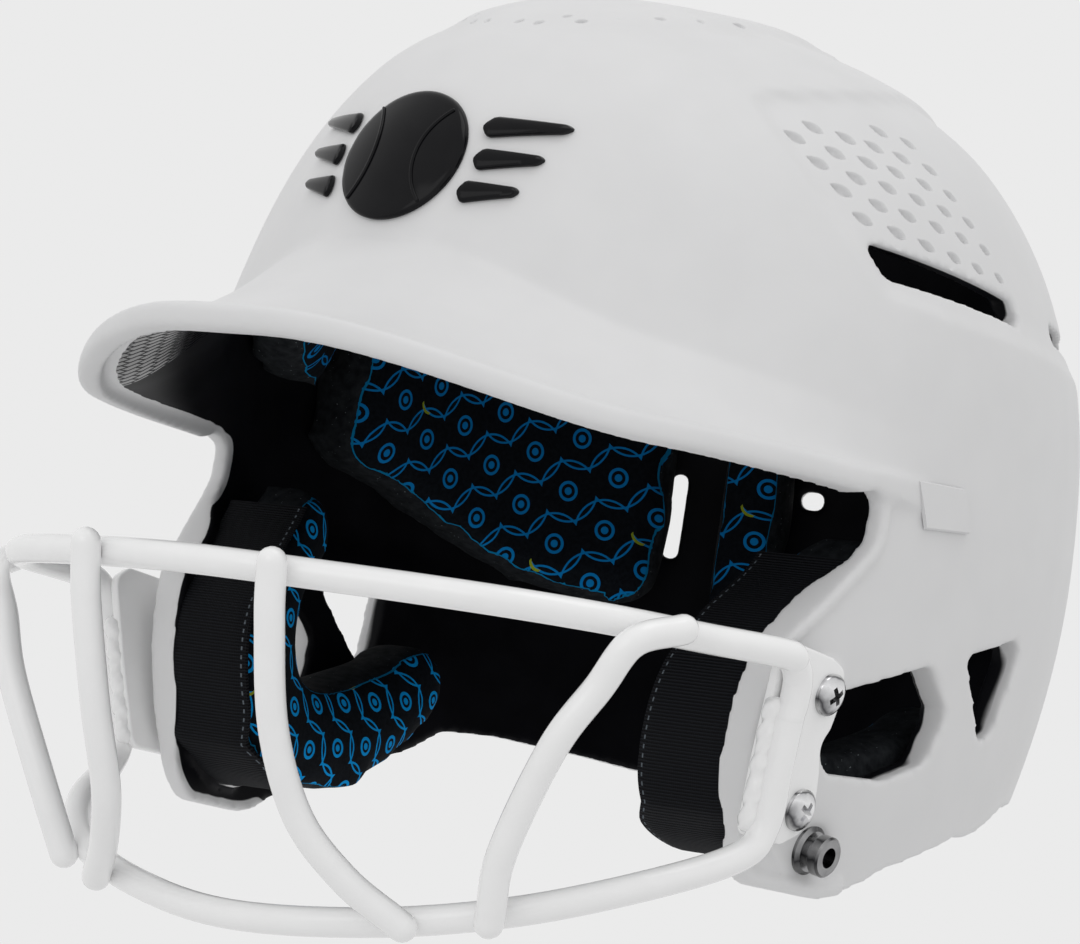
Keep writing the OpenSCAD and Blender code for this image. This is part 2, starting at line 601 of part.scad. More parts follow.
module chin_stud_washer() {
    color("silver") seated() on_seat(stud_at[0], stud_at[1])
        translate([0, 0, -stud_wall - washer_t])
            difference() {
                cylinder(d = stud_flange_d - 0.5, h = washer_t);
                translate([0, 0, -1]) cylinder(d = stud_shank_d + 0.4, h = washer_t + 2);
            }
}

// Section of a pad as [share of its depth, share of its half width]: flat on the
// shell, drawn in at its sides and crowned on its face
pad_section = [[0, 0.9], [0, 0], [0, -0.9], [0.12, -1], [0.45, -0.97], [0.8, -1], [0.95, -0.9],
    [1.02, -0.45], [1.05, 0], [1.02, 0.45], [0.95, 0.9], [0.8, 1], [0.45, 0.97], [0.12, 1]];
pad_stops = [0, 0.03, 0.08, 0.16, 0.27, 0.38, 0.5, 0.62, 0.73, 0.84, 0.92, 0.97, 1];
// How much a pad's end falls off, at a share k of its length
function end_fall(k, fall) = 1 - fall * pow(1 - min(1, min(k, 1 - k) / 0.1), 2);

// Pad along the inside of the shell between two turns, with its lower and upper edge by the turn
module liner_pad(u1, u2, low, high, t) {
    color("darkslategray") seated()
        lofted([for (k = pad_stops) let (u = mix(u1, u2, k))
            [for (s = pad_section)
                let (z = (low(u) + high(u)) / 2 + (high(u) - low(u)) / 2 * s[1] * end_fall(k, 0.2))
                surf(u, z, wall + thick_at(u, z) + gap + s[0] * t * end_fall(k, 0.15))]]);
}
// Heights of the pads' edges
front_pad_z = [24, 6, 50];
side_pad_z = [-8, -31, 38];
rear_pad_z = [-30, 40];
module front_pad() {
    liner_pad(-80, 80, function(u) mix(front_pad_z[0], front_pad_z[1], smooth(45, 80, abs(u))),
        function(u) front_pad_z[2], liner_t);
}
module side_pad() {
    liner_pad(86, 147, function(u) mix(side_pad_z[0], side_pad_z[1], smooth(84, 132, u)),
        function(u) side_pad_z[2], liner_t);
}
module rear_pad() {
    liner_pad(154.5, 171, function(u) rear_pad_z[0], function(u) rear_pad_z[1], liner_t);
}
// Round pad under the crown, as rings around the middle: [angle of the ring's height, depth share]
module crown_pad() {
    rings = [[86, 0], [80, 0], [74, 0], [69.5, 0], [68.5, 0.12], [69, 0.45], [68.5, 0.8], [70, 0.95],
        [75, 1.02], [81, 1.04], [86, 1.05]];
    color("darkslategray") seated()
        lofted([for (g = rings) let (d = wall + gap + g[1] * liner_t)
            [for (u = [360 : -15 : 15]) surf(u, (crown_h - d) * sin(g[0]), d)]]);
}

// Jaw pad: a C around the ear, by its front edge and its edge toward the ear, each as [y, z]
jaw_front = [[-45, -15], [-52, -27], [-65, -41], [-73.5, -56], [-74, -77], [-63, -91], [-33, -95], [-8, -94],
    [13, -86], [28, -75], [34, -63]];
jaw_back = [[-27, -15], [-24, -27], [-32, -40], [-38, -54], [-37, -63], [-31, -67], [-22, -66], [-8, -62],
    [8, -57], [22, -51], [30, -52]];
pad_back = vent_wall + 3 * gap;
edge_back = edge_sink + edge_r + 2 * gap;
// Depth at which the pad starts: over the nuts' flanges, and less toward the rolled edge
function jaw_back_at(y, z) =
    max(wall + thick_at(turn_at(y, z), z) + 2 * gap, mix(edge_back, pad_back, smooth(-68, -61, y)));
// Full depth of the pad there, and a point at some depth in from its outer side
function jaw_deep(p) = pad_back + jaw_t - jaw_back_at(p[0], p[1]);
function jaw_at(p, depth) = side_pt(p[0], p[1], jaw_back_at(p[0], p[1])) - [depth, 0, 0];
jaw_steps = 2;
module jaw_pad() {
    front = curve(jaw_front, jaw_steps);
    back = curve(jaw_back, jaw_steps);
    n = len(front) - 1;
    color("darkslategray") seated()
        lofted([for (i = [0 : n])
            [for (s = pad_section)
                let (fall = end_fall(i / n, 0.3), p = mix(front[i], back[i], 0.5 + 0.5 * s[1] * fall))
                jaw_at(p, s[0] * jaw_deep(p) * end_fall(i / n, 0.15))]]);
}
// Woven band on the front wall of the jaw pad
band_edge = 0.8;
band_gap = 2 * gap;
module jaw_band() {
    front = curve(jaw_front, 3);
    back = curve(jaw_back, 3);
    first = 2;
    last = 22;
    color("black") seated()
        lofted([for (i = [first : last]) let (out = unit(front[i] - back[i]),
                near = [0, band_gap * out[0], band_gap * out[1]],
                far = near + [0, band_t * out[0], band_t * out[1]],
                side = jaw_at(front[i], band_edge),
                inner = [min(band_w, jaw_deep(front[i]) - 2 * band_edge), 0, 0])
            [side + far, side - inner + far, side - inner + near, side + near]]);
}

shell();
front_emblem();
temple_badge();  // temple_badge_left
mirror([1, 0, 0]) temple_badge();  // temple_badge_right
guard_wire(upper_loops);  // guard_upper_hoop
guard_wire(lower_loops);  // guard_lower_hoop
guard_wire(inner_loops);  // guard_inner_bar_left
mirror([1, 0, 0]) guard_wire(inner_loops);  // guard_inner_bar_right
guard_wire(outer_loops);  // guard_outer_bar_left
mirror([1, 0, 0]) guard_wire(outer_loops);  // guard_outer_bar_right
guard_plate();  // guard_plate_left
mirror([1, 0, 0]) guard_plate();  // guard_plate_right
guard_screws();
guard_t_nuts();
chin_stud();  // chin_stud_left
mirror([1, 0, 0]) chin_stud();  // chin_stud_right
chin_stud_washer();  // chin_stud_washer_left
mirror([1, 0, 0]) chin_stud_washer();  // chin_stud_washer_right
front_pad();
crown_pad();
side_pad();  // side_pad_left
mirror([1, 0, 0]) side_pad();  // side_pad_right
rear_pad();  // rear_pad_left
mirror([1, 0, 0]) rear_pad();  // rear_pad_right
jaw_pad();  // jaw_pad_left
mirror([1, 0, 0]) jaw_pad();  // jaw_pad_right
jaw_band();  // jaw_band_left
mirror([1, 0, 0]) jaw_band();  // jaw_band_right
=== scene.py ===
"""Looks of the softball batting helmet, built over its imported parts.

Sizes are millimetres in the frame of the head, as in part.scad: the front looks along -Y, the wearer's
left is +X and up is +Z. seated() leans a point back onto the table and turns it into metres.
"""
import math

import bmesh
import bpy
import numpy as np
from mathutils import Matrix, Vector
from mathutils.bvhtree import BVHTree
from mathutils.kdtree import KDTree


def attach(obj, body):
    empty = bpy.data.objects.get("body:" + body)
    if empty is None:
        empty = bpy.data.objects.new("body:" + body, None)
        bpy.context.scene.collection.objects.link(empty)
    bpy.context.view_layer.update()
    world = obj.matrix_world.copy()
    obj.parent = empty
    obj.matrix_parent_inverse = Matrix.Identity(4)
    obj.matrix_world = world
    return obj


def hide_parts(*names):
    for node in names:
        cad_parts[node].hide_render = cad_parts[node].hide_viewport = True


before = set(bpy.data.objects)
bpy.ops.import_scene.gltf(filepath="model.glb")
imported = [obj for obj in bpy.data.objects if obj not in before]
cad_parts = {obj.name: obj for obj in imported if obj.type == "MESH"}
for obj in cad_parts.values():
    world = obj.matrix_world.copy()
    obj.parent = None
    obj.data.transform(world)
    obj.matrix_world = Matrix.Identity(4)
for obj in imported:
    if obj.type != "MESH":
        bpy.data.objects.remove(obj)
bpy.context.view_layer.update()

# Camera of the photograph
PHOTO_W = 1080
FOCAL_PX = 4470.6
CAM_TURN, CAM_PITCH, CAM_ROLL = 37.0, -5.282, 8.966
CAM_DIST = 1148.8
CAM_ASIDE = (25.36, 1.34)
CAM_RANGE = (0.05, 20.0)
SENSOR = 36.0

# Seat of the helmet on the table
LEAN = 13.2234
LIFT = 97.3102
SHIFT = 28.6567

# Shell
HALF_W, FRONT, REAR, CROWN = 108.0, 119.0, 126.0, 115.0
WALL, VENT_WALL, SLOT_WALL = 3.2, 8.0, 6.5
PANEL_DEPTH = 2.0
RIDGE_H, RIDGE_HALF_W, RIDGE_END = 3.0, 36.0, 57.0
RIDGE_FRONT, RIDGE_REAR = -30.0, 25.0
EDGE_R, EDGE_SINK, EDGE_TRIM = 2.3, 0.3, 0.5
BRIM_LEN = 51.0
RIM_W = RIM_H = 6.5
FLAP_Z = -103.0
NAPE_Z = -75.0
MID_Y = -3.0
ROUND_FRONT, ROUND_REAR = 2.66, 2.26
EGG_FRONT, EGG_REAR, EGG_SPAN = 0.11, -0.025, 45.0
TAPER_SIDE, TAPER_REAR, TAPER_SPAN = 0.227, 0.4, 130.0
RIM_SIDE = -8.0
GAP = 0.3

# Guard
WIRE_D = 7.0
HOOP_Z = -49.5
GUARD_H = 78.0
TIP_Y = MID_Y - FRONT - 47.0
LOW_TIP_Y = MID_Y - FRONT - 10.5
LEG_Y, LEG_SLOPE = -72.5, 0.175
INNER_TOP_X, INNER_LOW_X = 25.75, 43.0
OUTER_TOP_X, OUTER_LOW_X = 94.5, 62.25
OUTER_BOW = 12.0
PLATE_T = 2.5
WELD_GAP, WELD_R = 0.2, 2.3
SEAT_SLOPE = 11.3
SEAT_X = 100.167
SCREW_AT = ((-53.9, -55.3), (-50.8, -82.6))
STUD_AT = (-38.0, -91.8)
SEAT_BACK = 8.0
SCREW_HEAD_D, SCREW_D = 10.3, 4.8

# Padding
LINER_T, JAW_T, BAND_W, BAND_T = 19.0, 21.0, 25.0, 1.4
PAD_BACK = VENT_WALL + 3 * GAP
EDGE_BACK = EDGE_SINK + EDGE_R + 2 * GAP
BAND_EDGE = -2.2

lean_cos, lean_sin = math.cos(math.radians(LEAN)), math.sin(math.radians(LEAN))


def seated(p):
    """Points in mm of the head's frame, as metres in the part's frame."""
    p = np.asarray(p, float)
    x, y, z = p[..., 0], p[..., 1], p[..., 2]
    return np.stack([x, y * lean_cos + z * lean_sin + SHIFT, z * lean_cos - y * lean_sin + LIFT], -1) / 1000


def unseated(q):
    """The other way: metres in the part's frame, as mm in the head's frame."""
    q = np.asarray(q, float) * 1000
    y, z = q[..., 1] - SHIFT, q[..., 2] - LIFT
    return np.stack([q[..., 0], y * lean_cos - z * lean_sin, z * lean_cos + y * lean_sin], -1)


SEAT_TURN = Matrix(((1, 0, 0), (0, lean_cos, lean_sin), (0, -lean_sin, lean_cos)))


def photo_camera():
    a, e, r = (math.radians(v) for v in (CAM_TURN, CAM_PITCH, CAM_ROLL))
    back = Vector((math.sin(a) * math.cos(e), -math.cos(a) * math.cos(e), math.sin(e)))
    right = Vector((0, 0, 1)).cross(back).normalized()
    up = back.cross(right)
    right, up = math.cos(r) * right + math.sin(r) * up, math.cos(r) * up - math.sin(r) * right
    place = back * CAM_DIST - right * CAM_ASIDE[0] - up * CAM_ASIDE[1]
    data = bpy.data.cameras.new("photo_camera")
    data.sensor_width = SENSOR
    data.lens = FOCAL_PX * SENSOR / PHOTO_W
    data.clip_start, data.clip_end = CAM_RANGE
    cam = bpy.data.objects.new("photo_camera", data)
    bpy.context.scene.collection.objects.link(cam)
    turn = Matrix([SEAT_TURN @ v for v in (right, up, back)]).transposed()
    cam.matrix_world = Matrix.Translation(Vector(seated(place))) @ turn.to_4x4()
    bpy.context.scene.camera = cam


photo_camera()


# Shell surface, as in part.scad: u is the turn from the front in degrees, z the height
def smooth(a, b, t):
    k = np.clip((t - a) / (b - a), 0, 1)
    return k * k * (3 - 2 * k)


def mix(a, b, k):
    return a + (b - a) * k


def front_share(u):
    return (1 + np.cos(np.radians(u))) / 2


def crown_scale(u, z, inset):
    n = mix(ROUND_REAR, ROUND_FRONT, front_share(u))
    share = np.clip(np.maximum(z, 0) / (CROWN - inset), 0, 1)
    return (1 - share**n) ** (1 / n)


def egg(u, z):
    pull = EGG_FRONT * z / np.sqrt(z * z + EGG_SPAN * EGG_SPAN)
    return 1 - mix(EGG_REAR, pull, front_share(u)) * np.sin(np.radians(2 * u)) ** 2


def half_w_at(z):
    return HALF_W * (1 - TAPER_SIDE * (np.minimum(z, 0) / TAPER_SPAN) ** 2)


def rear_at(z):
    return REAR * (1 - TAPER_REAR * (np.minimum(z, 0) / TAPER_SPAN) ** 2)


def surf(u, z, inset=0.0):
    u, z, inset = np.broadcast_arrays(*(np.asarray(v, float) for v in (u, z, inset)))
    s = crown_scale(u, z, inset)
    a = (half_w_at(z) - inset) * s
    b = (mix(rear_at(z), FRONT, front_share(u)) - inset) * s
    e = egg(u, z)
    x, y = a * np.sin(np.radians(u)) * e, MID_Y - b * np.cos(np.radians(u)) * e
    return np.stack([x, y, z - crown_dip(x, y, z, inset)], -1)


def crown_dip(x, y, z, inset):
    """The top is flatter than the rest of the crown, apart from its raised middle."""
    past = np.maximum(0, np.maximum(RIDGE_FRONT - y, y - RIDGE_REAR))
    raised = 1 - smooth(0.8, 1.15, (x / RIDGE_HALF_W) ** 2 + (past / RIDGE_END) ** 2)
    return RIDGE_H * smooth(0.74, 0.97, z / CROWN) * (1 - np.where(inset > 2, 0, raised))


def turn_at(y, z):
    """Turn at which the left side of the surface has a given y at height z."""
    y, z = np.broadcast_arrays(np.asarray(y, float), np.asarray(z, float))
    lo, hi = np.zeros(y.shape), np.full(y.shape, 180.0)
    for _ in range(24):
        m = (lo + hi) / 2
        short = surf(m, z)[..., 1] < y
        lo, hi = np.where(short, m, lo), np.where(short, hi, m)
    return (lo + hi) / 2


def side_pt(y, z, inset=0.0):
    return surf(turn_at(y, z), z, inset)


# Brim
BRIM_MID = -30.0
BRIM_HALF_W = HALF_W - 2
BRIM_TIP = FRONT - MID_Y + BRIM_LEN + BRIM_MID


def brim_reach(u):
    p = surf(u, 0.0)
    d = p - np.array([0, MID_Y, 0])
    r = np.hypot(d[..., 0], d[..., 1])
    kx, ky = d[..., 0] / r, d[..., 1] / r
    off = MID_Y - BRIM_MID
    a = (kx / BRIM_HALF_W) ** 2 + (ky / BRIM_TIP) ** 2
    b = 2 * off * ky / BRIM_TIP**2
    c = (off / BRIM_TIP) ** 2 - 1
    return np.maximum(0, (np.sqrt(b * b - 4 * a * c) - b) / (2 * a) - r)


def from_front(u):
    return np.abs((np.asarray(u, float) + 180) % 360 - 180)


def rim_low(u):
    return mix(2.5, RIM_SIDE, smooth(5, 40, from_front(u)))


def rim_top(u):
    return rim_low(u) + RIM_H


def brim_rise(u):
    return 6 + 20 * np.sqrt(brim_reach(u) / BRIM_LEN)


def pushed(u, z, out, inset=0.0):
    p = surf(u, np.minimum(z, CROWN - inset - 1), inset)
    d = p - np.array([0, MID_Y, 0])
    d[..., 2] = 0
    k = d / np.linalg.norm(d, axis=-1, keepdims=True)
    p = p + k * np.asarray(out, float)[..., None]
    p[..., 2] = z
    return p


def panel_turn(z):
    return 57 + 0.463 * (64 - np.clip(z, 43, 84))


def panel_at(u, z):
    """Depth of the recessed panel on each side of the crown."""
    t = from_front(u)
    top = 86 + 0.36 * (np.minimum(90, t) - 48)
    ends = smooth(0, 4, t - panel_turn(z)) * (1 - smooth(144, 156, t))
    return PANEL_DEPTH * ends * smooth(39, 43, z) * (1 - smooth(top - 4, top, z))


def thick_at(u, z):
    """Extra depth of the wall round the ear holes and vents, and behind the slots and panels."""
    t = from_front(u)
    low = smooth(48, 64, t) * (1 - smooth(108, 124, t)) * smooth(-92, -76, z) * (1 - smooth(-34, -22, z))
    slots = smooth(56, 64, t) * (1 - smooth(134, 142, t)) * smooth(34, 40, z) * (1 - smooth(54, 62, z))
    return (VENT_WALL - WALL) * low + (SLOT_WALL - WALL) * slots + panel_at(u, z)


def closed_skin(rows):
    """Closed skin through rings that run from the top down."""
    top, foot = rows[0][0, 2] + 0.2, rows[-1][0, 2]
    return loft(rows, [(0, MID_Y, top), (0, 0, foot)])


COLUMNS = np.arange(0, 360, 1.25)
TURNS = np.concatenate([[89, 88, 86], np.arange(84, 28, -2.0)])
SKIRT = np.arange(-13, -118, -3.0)
SIDE_START, SIDE_STEPS = 29, np.linspace(0.06, 1, 14)
BRIM_STEPS = np.linspace(0.06, 1, 15)
RIM_SOFT = 2.2


def on_panel(u, z):
    return surf(u, z, panel_at(u, z))


def outer_skin():
    u = COLUMNS
    reach, top, low, rise = brim_reach(u), rim_top(u), rim_low(u), brim_rise(u)
    root, start = top + rise, CROWN * math.sin(math.radians(SIDE_START))
    soft = RIM_SOFT * np.minimum(1, reach / 6)
    rows = [on_panel(u, CROWN * math.sin(math.radians(t))) for t in TURNS]
    rows += [on_panel(u, mix(start, root, k)) for k in SIDE_STEPS]
    rows += [pushed(u, top + rise * (1 - t) ** 2, (reach - soft) * t) for t in BRIM_STEPS]
    for a in (30, 60, 90):
        s, c = math.sin(math.radians(a)), math.cos(math.radians(a))
        rows.append(pushed(u, top - soft * (1 - c), reach - soft * (1 - s)))
    for a in (90, 60, 30, 0):
        s, c = math.sin(math.radians(a)), math.cos(math.radians(a))
        rows.append(pushed(u, low + soft * (1 - c), reach - soft * (1 - s)))
    rows.append(pushed(u, low - 0.5, (reach - soft) * 0.5))
    rows.append(pushed(u, low - 1, 0 * reach))
    rows += [surf(u, z) for z in SKIRT]
    return closed_skin(rows)


def inner_skin():
    u = COLUMNS
    reach, top, rise = brim_reach(u), rim_top(u) - WALL, brim_rise(u)
    hollow = np.maximum(0, reach - RIM_W + WALL)
    root, start = top + rise, (CROWN - WALL) * math.sin(math.radians(SIDE_START))
    rows = []
    for t in TURNS:
        z = (CROWN - WALL) * math.sin(math.radians(t))
        rows.append(surf(u, z, WALL + thick_at(u, z)))
    for k in SIDE_STEPS:
        z = mix(start, root, k)
        rows.append(surf(u, z, WALL + thick_at(u, z)))
    rows += [pushed(u, top + rise * (1 - t) ** 2, hollow * t, WALL) for t in BRIM_STEPS]
    rows.append(pushed(u, RIM_SIDE - 4, hollow, WALL))
    rows.append(pushed(u, RIM_SIDE - 4.5, 0 * hollow, WALL))
    for z in SKIRT:
        low = z - 4 if z < -100 else z
        rows.append(surf(u, low, WALL + thick_at(u, z)))
    return closed_skin(rows)


# Outlines
def rounded(pts, radii, steps=6):
    """Outline with its corners rounded."""
    pts = [np.array(p, float) for p in pts]
    radii = radii if isinstance(radii, (list, tuple)) else [radii] * len(pts)
    out = []
    for i, q in enumerate(pts):
        p, s, r = pts[i - 1], pts[(i + 1) % len(pts)], radii[i]
        if r <= 0:
            out.append(q)
            continue
        n1, n2 = np.linalg.norm(p - q), np.linalg.norm(s - q)
        d1, d2 = (p - q) / n1, (s - q) / n2
        half = math.acos(max(-1, min(1, float(d1 @ d2)))) / 2
        reach = min(r / math.tan(half), 0.45 * min(n1, n2))
        rr = reach * math.tan(half)
        mid = q + (d1 + d2) / np.linalg.norm(d1 + d2) * rr / math.sin(half)
        a, b = q + d1 * reach - mid, q + d2 * reach - mid
        side = 1 if a[0] * b[1] - a[1] * b[0] > 0 else -1
        for k in range(steps + 1):
            t = side * (math.pi - 2 * half) * k / steps
            c, s2 = math.cos(t), math.sin(t)
            out.append(mid + np.array([a[0] * c - a[1] * s2, a[0] * s2 + a[1] * c]))
    return np.array(out)


UNDER_CUT = [
    (-230, RIM_SIDE - 1), (-57, RIM_SIDE - 1), (-49, -6.5), (-44.8, -9.5), (-44.9, -18),
    (-47.5, -22), (-67, -46), (-69, -58), (-69, -67), (-66, -82), (-61, FLAP_Z + 6),
    (-55, FLAP_Z + 0.7), (-30, FLAP_Z), (-22, FLAP_Z + 1.8), (-11, FLAP_Z + 7), (-8.5, FLAP_Z + 9),
    (17, -84.5), (21, -82.5), (28, -82), (37, -78.5), (50, -72), (66, -71), (84, -72.5),
    (97, NAPE_Z), (150, NAPE_Z), (150, -150), (-230, -150),
]
UNDER_ROUND = [0, 8, 4, 4, 7, 7, 9, 12, 12, 12, 10, 8, 8, 6, 3, 3, 4, 4, 5, 8, 12, 14, 10, 10, 0, 0, 0]
EAR_HOLE = [(-46, -55), (-14, -43.5), (-2, -54), (-5, -66.5), (-20, -72.6), (-42, -73.6), (-48, -65)]
SIDE_VENT = [(0, -39.6), (28.5, -30.6), (23.2, -55.5), (17, -58.6)]
FRONT_SLOT = [(-47.5, 53), (6, 49.2), (10.5, 43), (-42, 44.8)]
REAR_SLOT = [(34, 48.8), (72, 49.6), (78, 43.6), (36, 44.4)]
SEAT_OUTLINE = [(-59, -48.5), (-47, -48.5), (-44.5, -55), (-48, -63), (-44, -76), (-35, -84),
                (-30, -92), (-33, -98), (-44, -98), (-58, -91), (-61, -70)]
PLATE_OUTLINE = [(-77.5, -49), (-72, -45.7), (-56, -47), (-50, -49), (-47.5, -55), (-48, -63), (-50, -67),
                 (-47, -73), (-44.5, -80), (-46, -88), (-53, -91.5), (-70, -91), (-74, -72)]


# Meshes
def new_object(name, verts, faces, place=seated):
    mesh = bpy.data.meshes.new(name)
    mesh.from_pydata([tuple(v) for v in (place(verts) if place else verts)], [], [tuple(f) for f in faces])
    mesh.update()
    obj = bpy.data.objects.new(name, mesh)
    bpy.context.scene.collection.objects.link(obj)
    return obj


def coords(mesh):
    flat = np.empty(len(mesh.vertices) * 3)
    mesh.vertices.foreach_get("co", flat)
    return flat.reshape(-1, 3)


def vertex_normals(mesh):
    flat = np.empty(len(mesh.vertices) * 3)
    mesh.vertex_normals.foreach_get("vector", flat)
    return flat.reshape(-1, 3)


def shade_smooth(obj, angle=None):
    for p in obj.data.polygons:
        p.use_smooth = True
    if angle is not None:
        obj.data.set_sharp_from_angle(angle=math.radians(angle))


def prism(pts, x1, x2):
    """Closed prism along X over an outline in y and z."""
    n = len(pts)
    verts = [(x, p[0], p[1]) for x in (x1, x2) for p in pts]
    faces = [tuple(range(n))[::-1], tuple(range(n, 2 * n))]
    faces += [(i, (i + 1) % n, n + (i + 1) % n, n + i) for i in range(n)]
    return np.array(verts, float), faces


def outward(obj):
    """Turns the faces of a closed mesh outward."""
    bm = bmesh.new()
    bm.from_mesh(obj.data)
    bmesh.ops.recalc_face_normals(bm, faces=bm.faces)
    bm.to_mesh(obj.data)
    bm.free()


def baked(obj):
    """Applies an object's modifiers to its mesh."""
    dg = bpy.context.evaluated_depsgraph_get()
    mesh = bpy.data.meshes.new_from_object(obj.evaluated_get(dg), depsgraph=dg)
    old = obj.data
    obj.modifiers.clear()
    obj.data = mesh
    bpy.data.meshes.remove(old)
    return obj


def modified(obj, kind, **values):
    """Adds one modifier to an object and applies it."""
    mod = obj.modifiers.new(kind.lower(), kind)
    for key, value in values.items():
        setattr(mod, key, value)
    baked(obj)


def cut(obj, tool, operation="DIFFERENCE"):
    modified(obj, "BOOLEAN", operation=operation, solver="MANIFOLD", object=tool)
    bpy.data.objects.remove(tool)


def merged(objects, name):
    """One object made of several, which are removed."""
    bm = bmesh.new()
    for obj in objects:
        bm.from_mesh(obj.data)
        bpy.data.objects.remove(obj)
    made = new_object(name, [], [], place=None)
    bm.to_mesh(made.data)
    bm.free()
    return made


def store(mesh, name, values):
    """Keeps a number or a vector for each vertex of a mesh, for its material."""
    values = np.asarray(values, float)
    kind, field = ("FLOAT", "value") if values.ndim == 1 else ("FLOAT_VECTOR", "vector")
    mesh.attributes.new(name, kind, "POINT").data.foreach_set(field, values.ravel())


def circle(count):
    return np.linspace(0, 2 * math.pi, count, endpoint=False)


def on_seat(points, y, z):
    """Points about a spot on the left guard seat, +Z outward there, in the head's frame."""
    p = np.array(points, float)
    a = math.radians(90 + SEAT_SLOPE)
    p[..., 0] += -(z - SCREW_AT[0][1]) / math.cos(math.radians(SEAT_SLOPE))
    x = p[..., 0] * math.cos(a) + p[..., 2] * math.sin(a)
    zz = -p[..., 0] * math.sin(a) + p[..., 2] * math.cos(a)
    return np.stack([x + SEAT_X, p[..., 1] + y, zz + SCREW_AT[0][1]], -1)


def seat_sheet(pts, low, high):
    """Closed sheet on the seat's plane from an outline in y and z."""
    flat = [((SCREW_AT[0][1] - z) / math.cos(math.radians(SEAT_SLOPE)), y) for y, z in pts]
    verts, faces = prism(flat, low, high)
    return on_seat(verts[:, [1, 2, 0]], 0.0, SCREW_AT[0][1]), faces


def flipped(verts, faces):
    """Mirror image across the middle."""
    v = np.array(verts, float)
    v[:, 0] *= -1
    return v, [tuple(f)[::-1] for f in faces]


def lathe(profile, sides):
    """Closed turned solid about +Z from a list of (radius, height), which starts and ends on the axis."""
    a = circle(sides)
    rings = [np.stack([r * np.cos(a), r * np.sin(a), h + 0 * a], -1) for r, h in profile[1:-1]]
    return loft(rings, [(0, 0, profile[0][1]), (0, 0, profile[-1][1])])


# Materials
class Look:
    """A procedural material, written as a few named steps."""

    def __init__(self, name, **values):
        self.material = bpy.data.materials.new(name)
        self.material.use_nodes = True
        self.tree = self.material.node_tree
        self.shader = next(n for n in self.tree.nodes if n.type == "BSDF_PRINCIPLED")
        for key, value in values.items():
            self.shader.inputs[key.replace("_", " ")].default_value = value

    def node(self, kind, **values):
        made = self.tree.nodes.new(kind)
        for key, value in values.items():
            setattr(made, key, value)
        return made

    def link(self, a, b):
        self.tree.links.new(a, b)

    def split(self, vector):
        parts = self.node("ShaderNodeSeparateXYZ")
        self.link(vector, parts.inputs[0])
        return parts.outputs

    def place(self):
        return self.node("ShaderNodeTexCoord").outputs["Object"]

    def stored(self, name):
        found = self.node("ShaderNodeAttribute")
        found.attribute_name = name
        return found

    def noise(self, scale, detail=2.0, where=None):
        made = self.node("ShaderNodeTexNoise")
        made.inputs["Scale"].default_value = scale
        made.inputs["Detail"].default_value = detail
        self.link(where or self.place(), made.inputs["Vector"])
        return made.outputs["Fac"]

    def math(self, operation, a, b=None, c=None):
        made = self.node("ShaderNodeMath", operation=operation)
        for i, v in enumerate((a, b, c)):
            if v is None:
                continue
            if isinstance(v, (int, float)):
                made.inputs[i].default_value = v
            else:
                self.link(v, made.inputs[i])
        return made.outputs[0]

    def length(self, x, y):
        return self.math("SQRT", self.math("ADD", self.math("MULTIPLY", x, x), self.math("MULTIPLY", y, y)))

    def line(self, value, at, half_width):
        """1 where a value lies within half_width of another."""
        return self.math("LESS_THAN", self.math("ABSOLUTE", self.math("SUBTRACT", value, at)), half_width)

    def ramp(self, value, stops):
        made = self.node("ShaderNodeValToRGB")
        points = made.color_ramp.elements
        for point, (at, colour) in zip(points, stops):
            point.position, point.color = at, (*colour, 1)
        for at, colour in stops[2:]:
            points.new(at).color = (*colour, 1)
        self.link(value, made.inputs[0])
        return made.outputs["Color"]

    def blend(self, share, a, b):
        made = self.node("ShaderNodeMix", data_type="RGBA")
        if isinstance(share, (int, float)):
            made.inputs[0].default_value = share
        else:
            self.link(share, made.inputs[0])
        for i, v in ((6, a), (7, b)):
            if isinstance(v, tuple):
                made.inputs[i].default_value = (*v, 1)
            else:
                self.link(v, made.inputs[i])
        return made.outputs[2]

    def paint(self, colour):
        self.link(colour, self.shader.inputs["Base Color"])

    def bump(self, height, depth, distance=0.0005):
        made = self.node("ShaderNodeBump")
        made.inputs["Strength"].default_value = depth
        made.inputs["Distance"].default_value = distance
        self.link(height, made.inputs["Height"])
        self.link(made.outputs["Normal"], self.shader.inputs["Normal"])

    def rough(self, value, low, high):
        made = self.node("ShaderNodeMapRange")
        made.inputs["To Min"].default_value = low
        made.inputs["To Max"].default_value = high
        self.link(value, made.inputs["Value"])
        self.link(made.outputs["Result"], self.shader.inputs["Roughness"])


def speckled(name, dark, light, rough, scale, bump=0.0, **values):
    """A plain moulded or coated surface: two near colours, uneven roughness and a fine grain."""
    look = Look(name, **values)
    grain = look.noise(scale)
    look.paint(look.ramp(grain, [(0.3, dark), (0.7, light)]))
    look.rough(grain, rough - 0.05, rough + 0.05)
    if bump:
        look.bump(look.noise(scale * 12), bump, 0.0002)
    return look.material


WHITE, WHITE_LIGHT = (0.735, 0.735, 0.74), (0.755, 0.755, 0.76)
BLACK, BLACK_LIGHT = (0.004, 0.004, 0.005), (0.008, 0.008, 0.01)
LINE_SOFT = 0.12
WHITE_SHELL = speckled("white_shell", WHITE, WHITE_LIGHT, 0.5, 60, bump=0.06)
TILES = {"Scale": 1000.0, "Mortar Size": 0.45, "Mortar Smooth": 0.3, "Brick Width": 5.5, "Row Height": 2.6}
TILES_END = -0.082


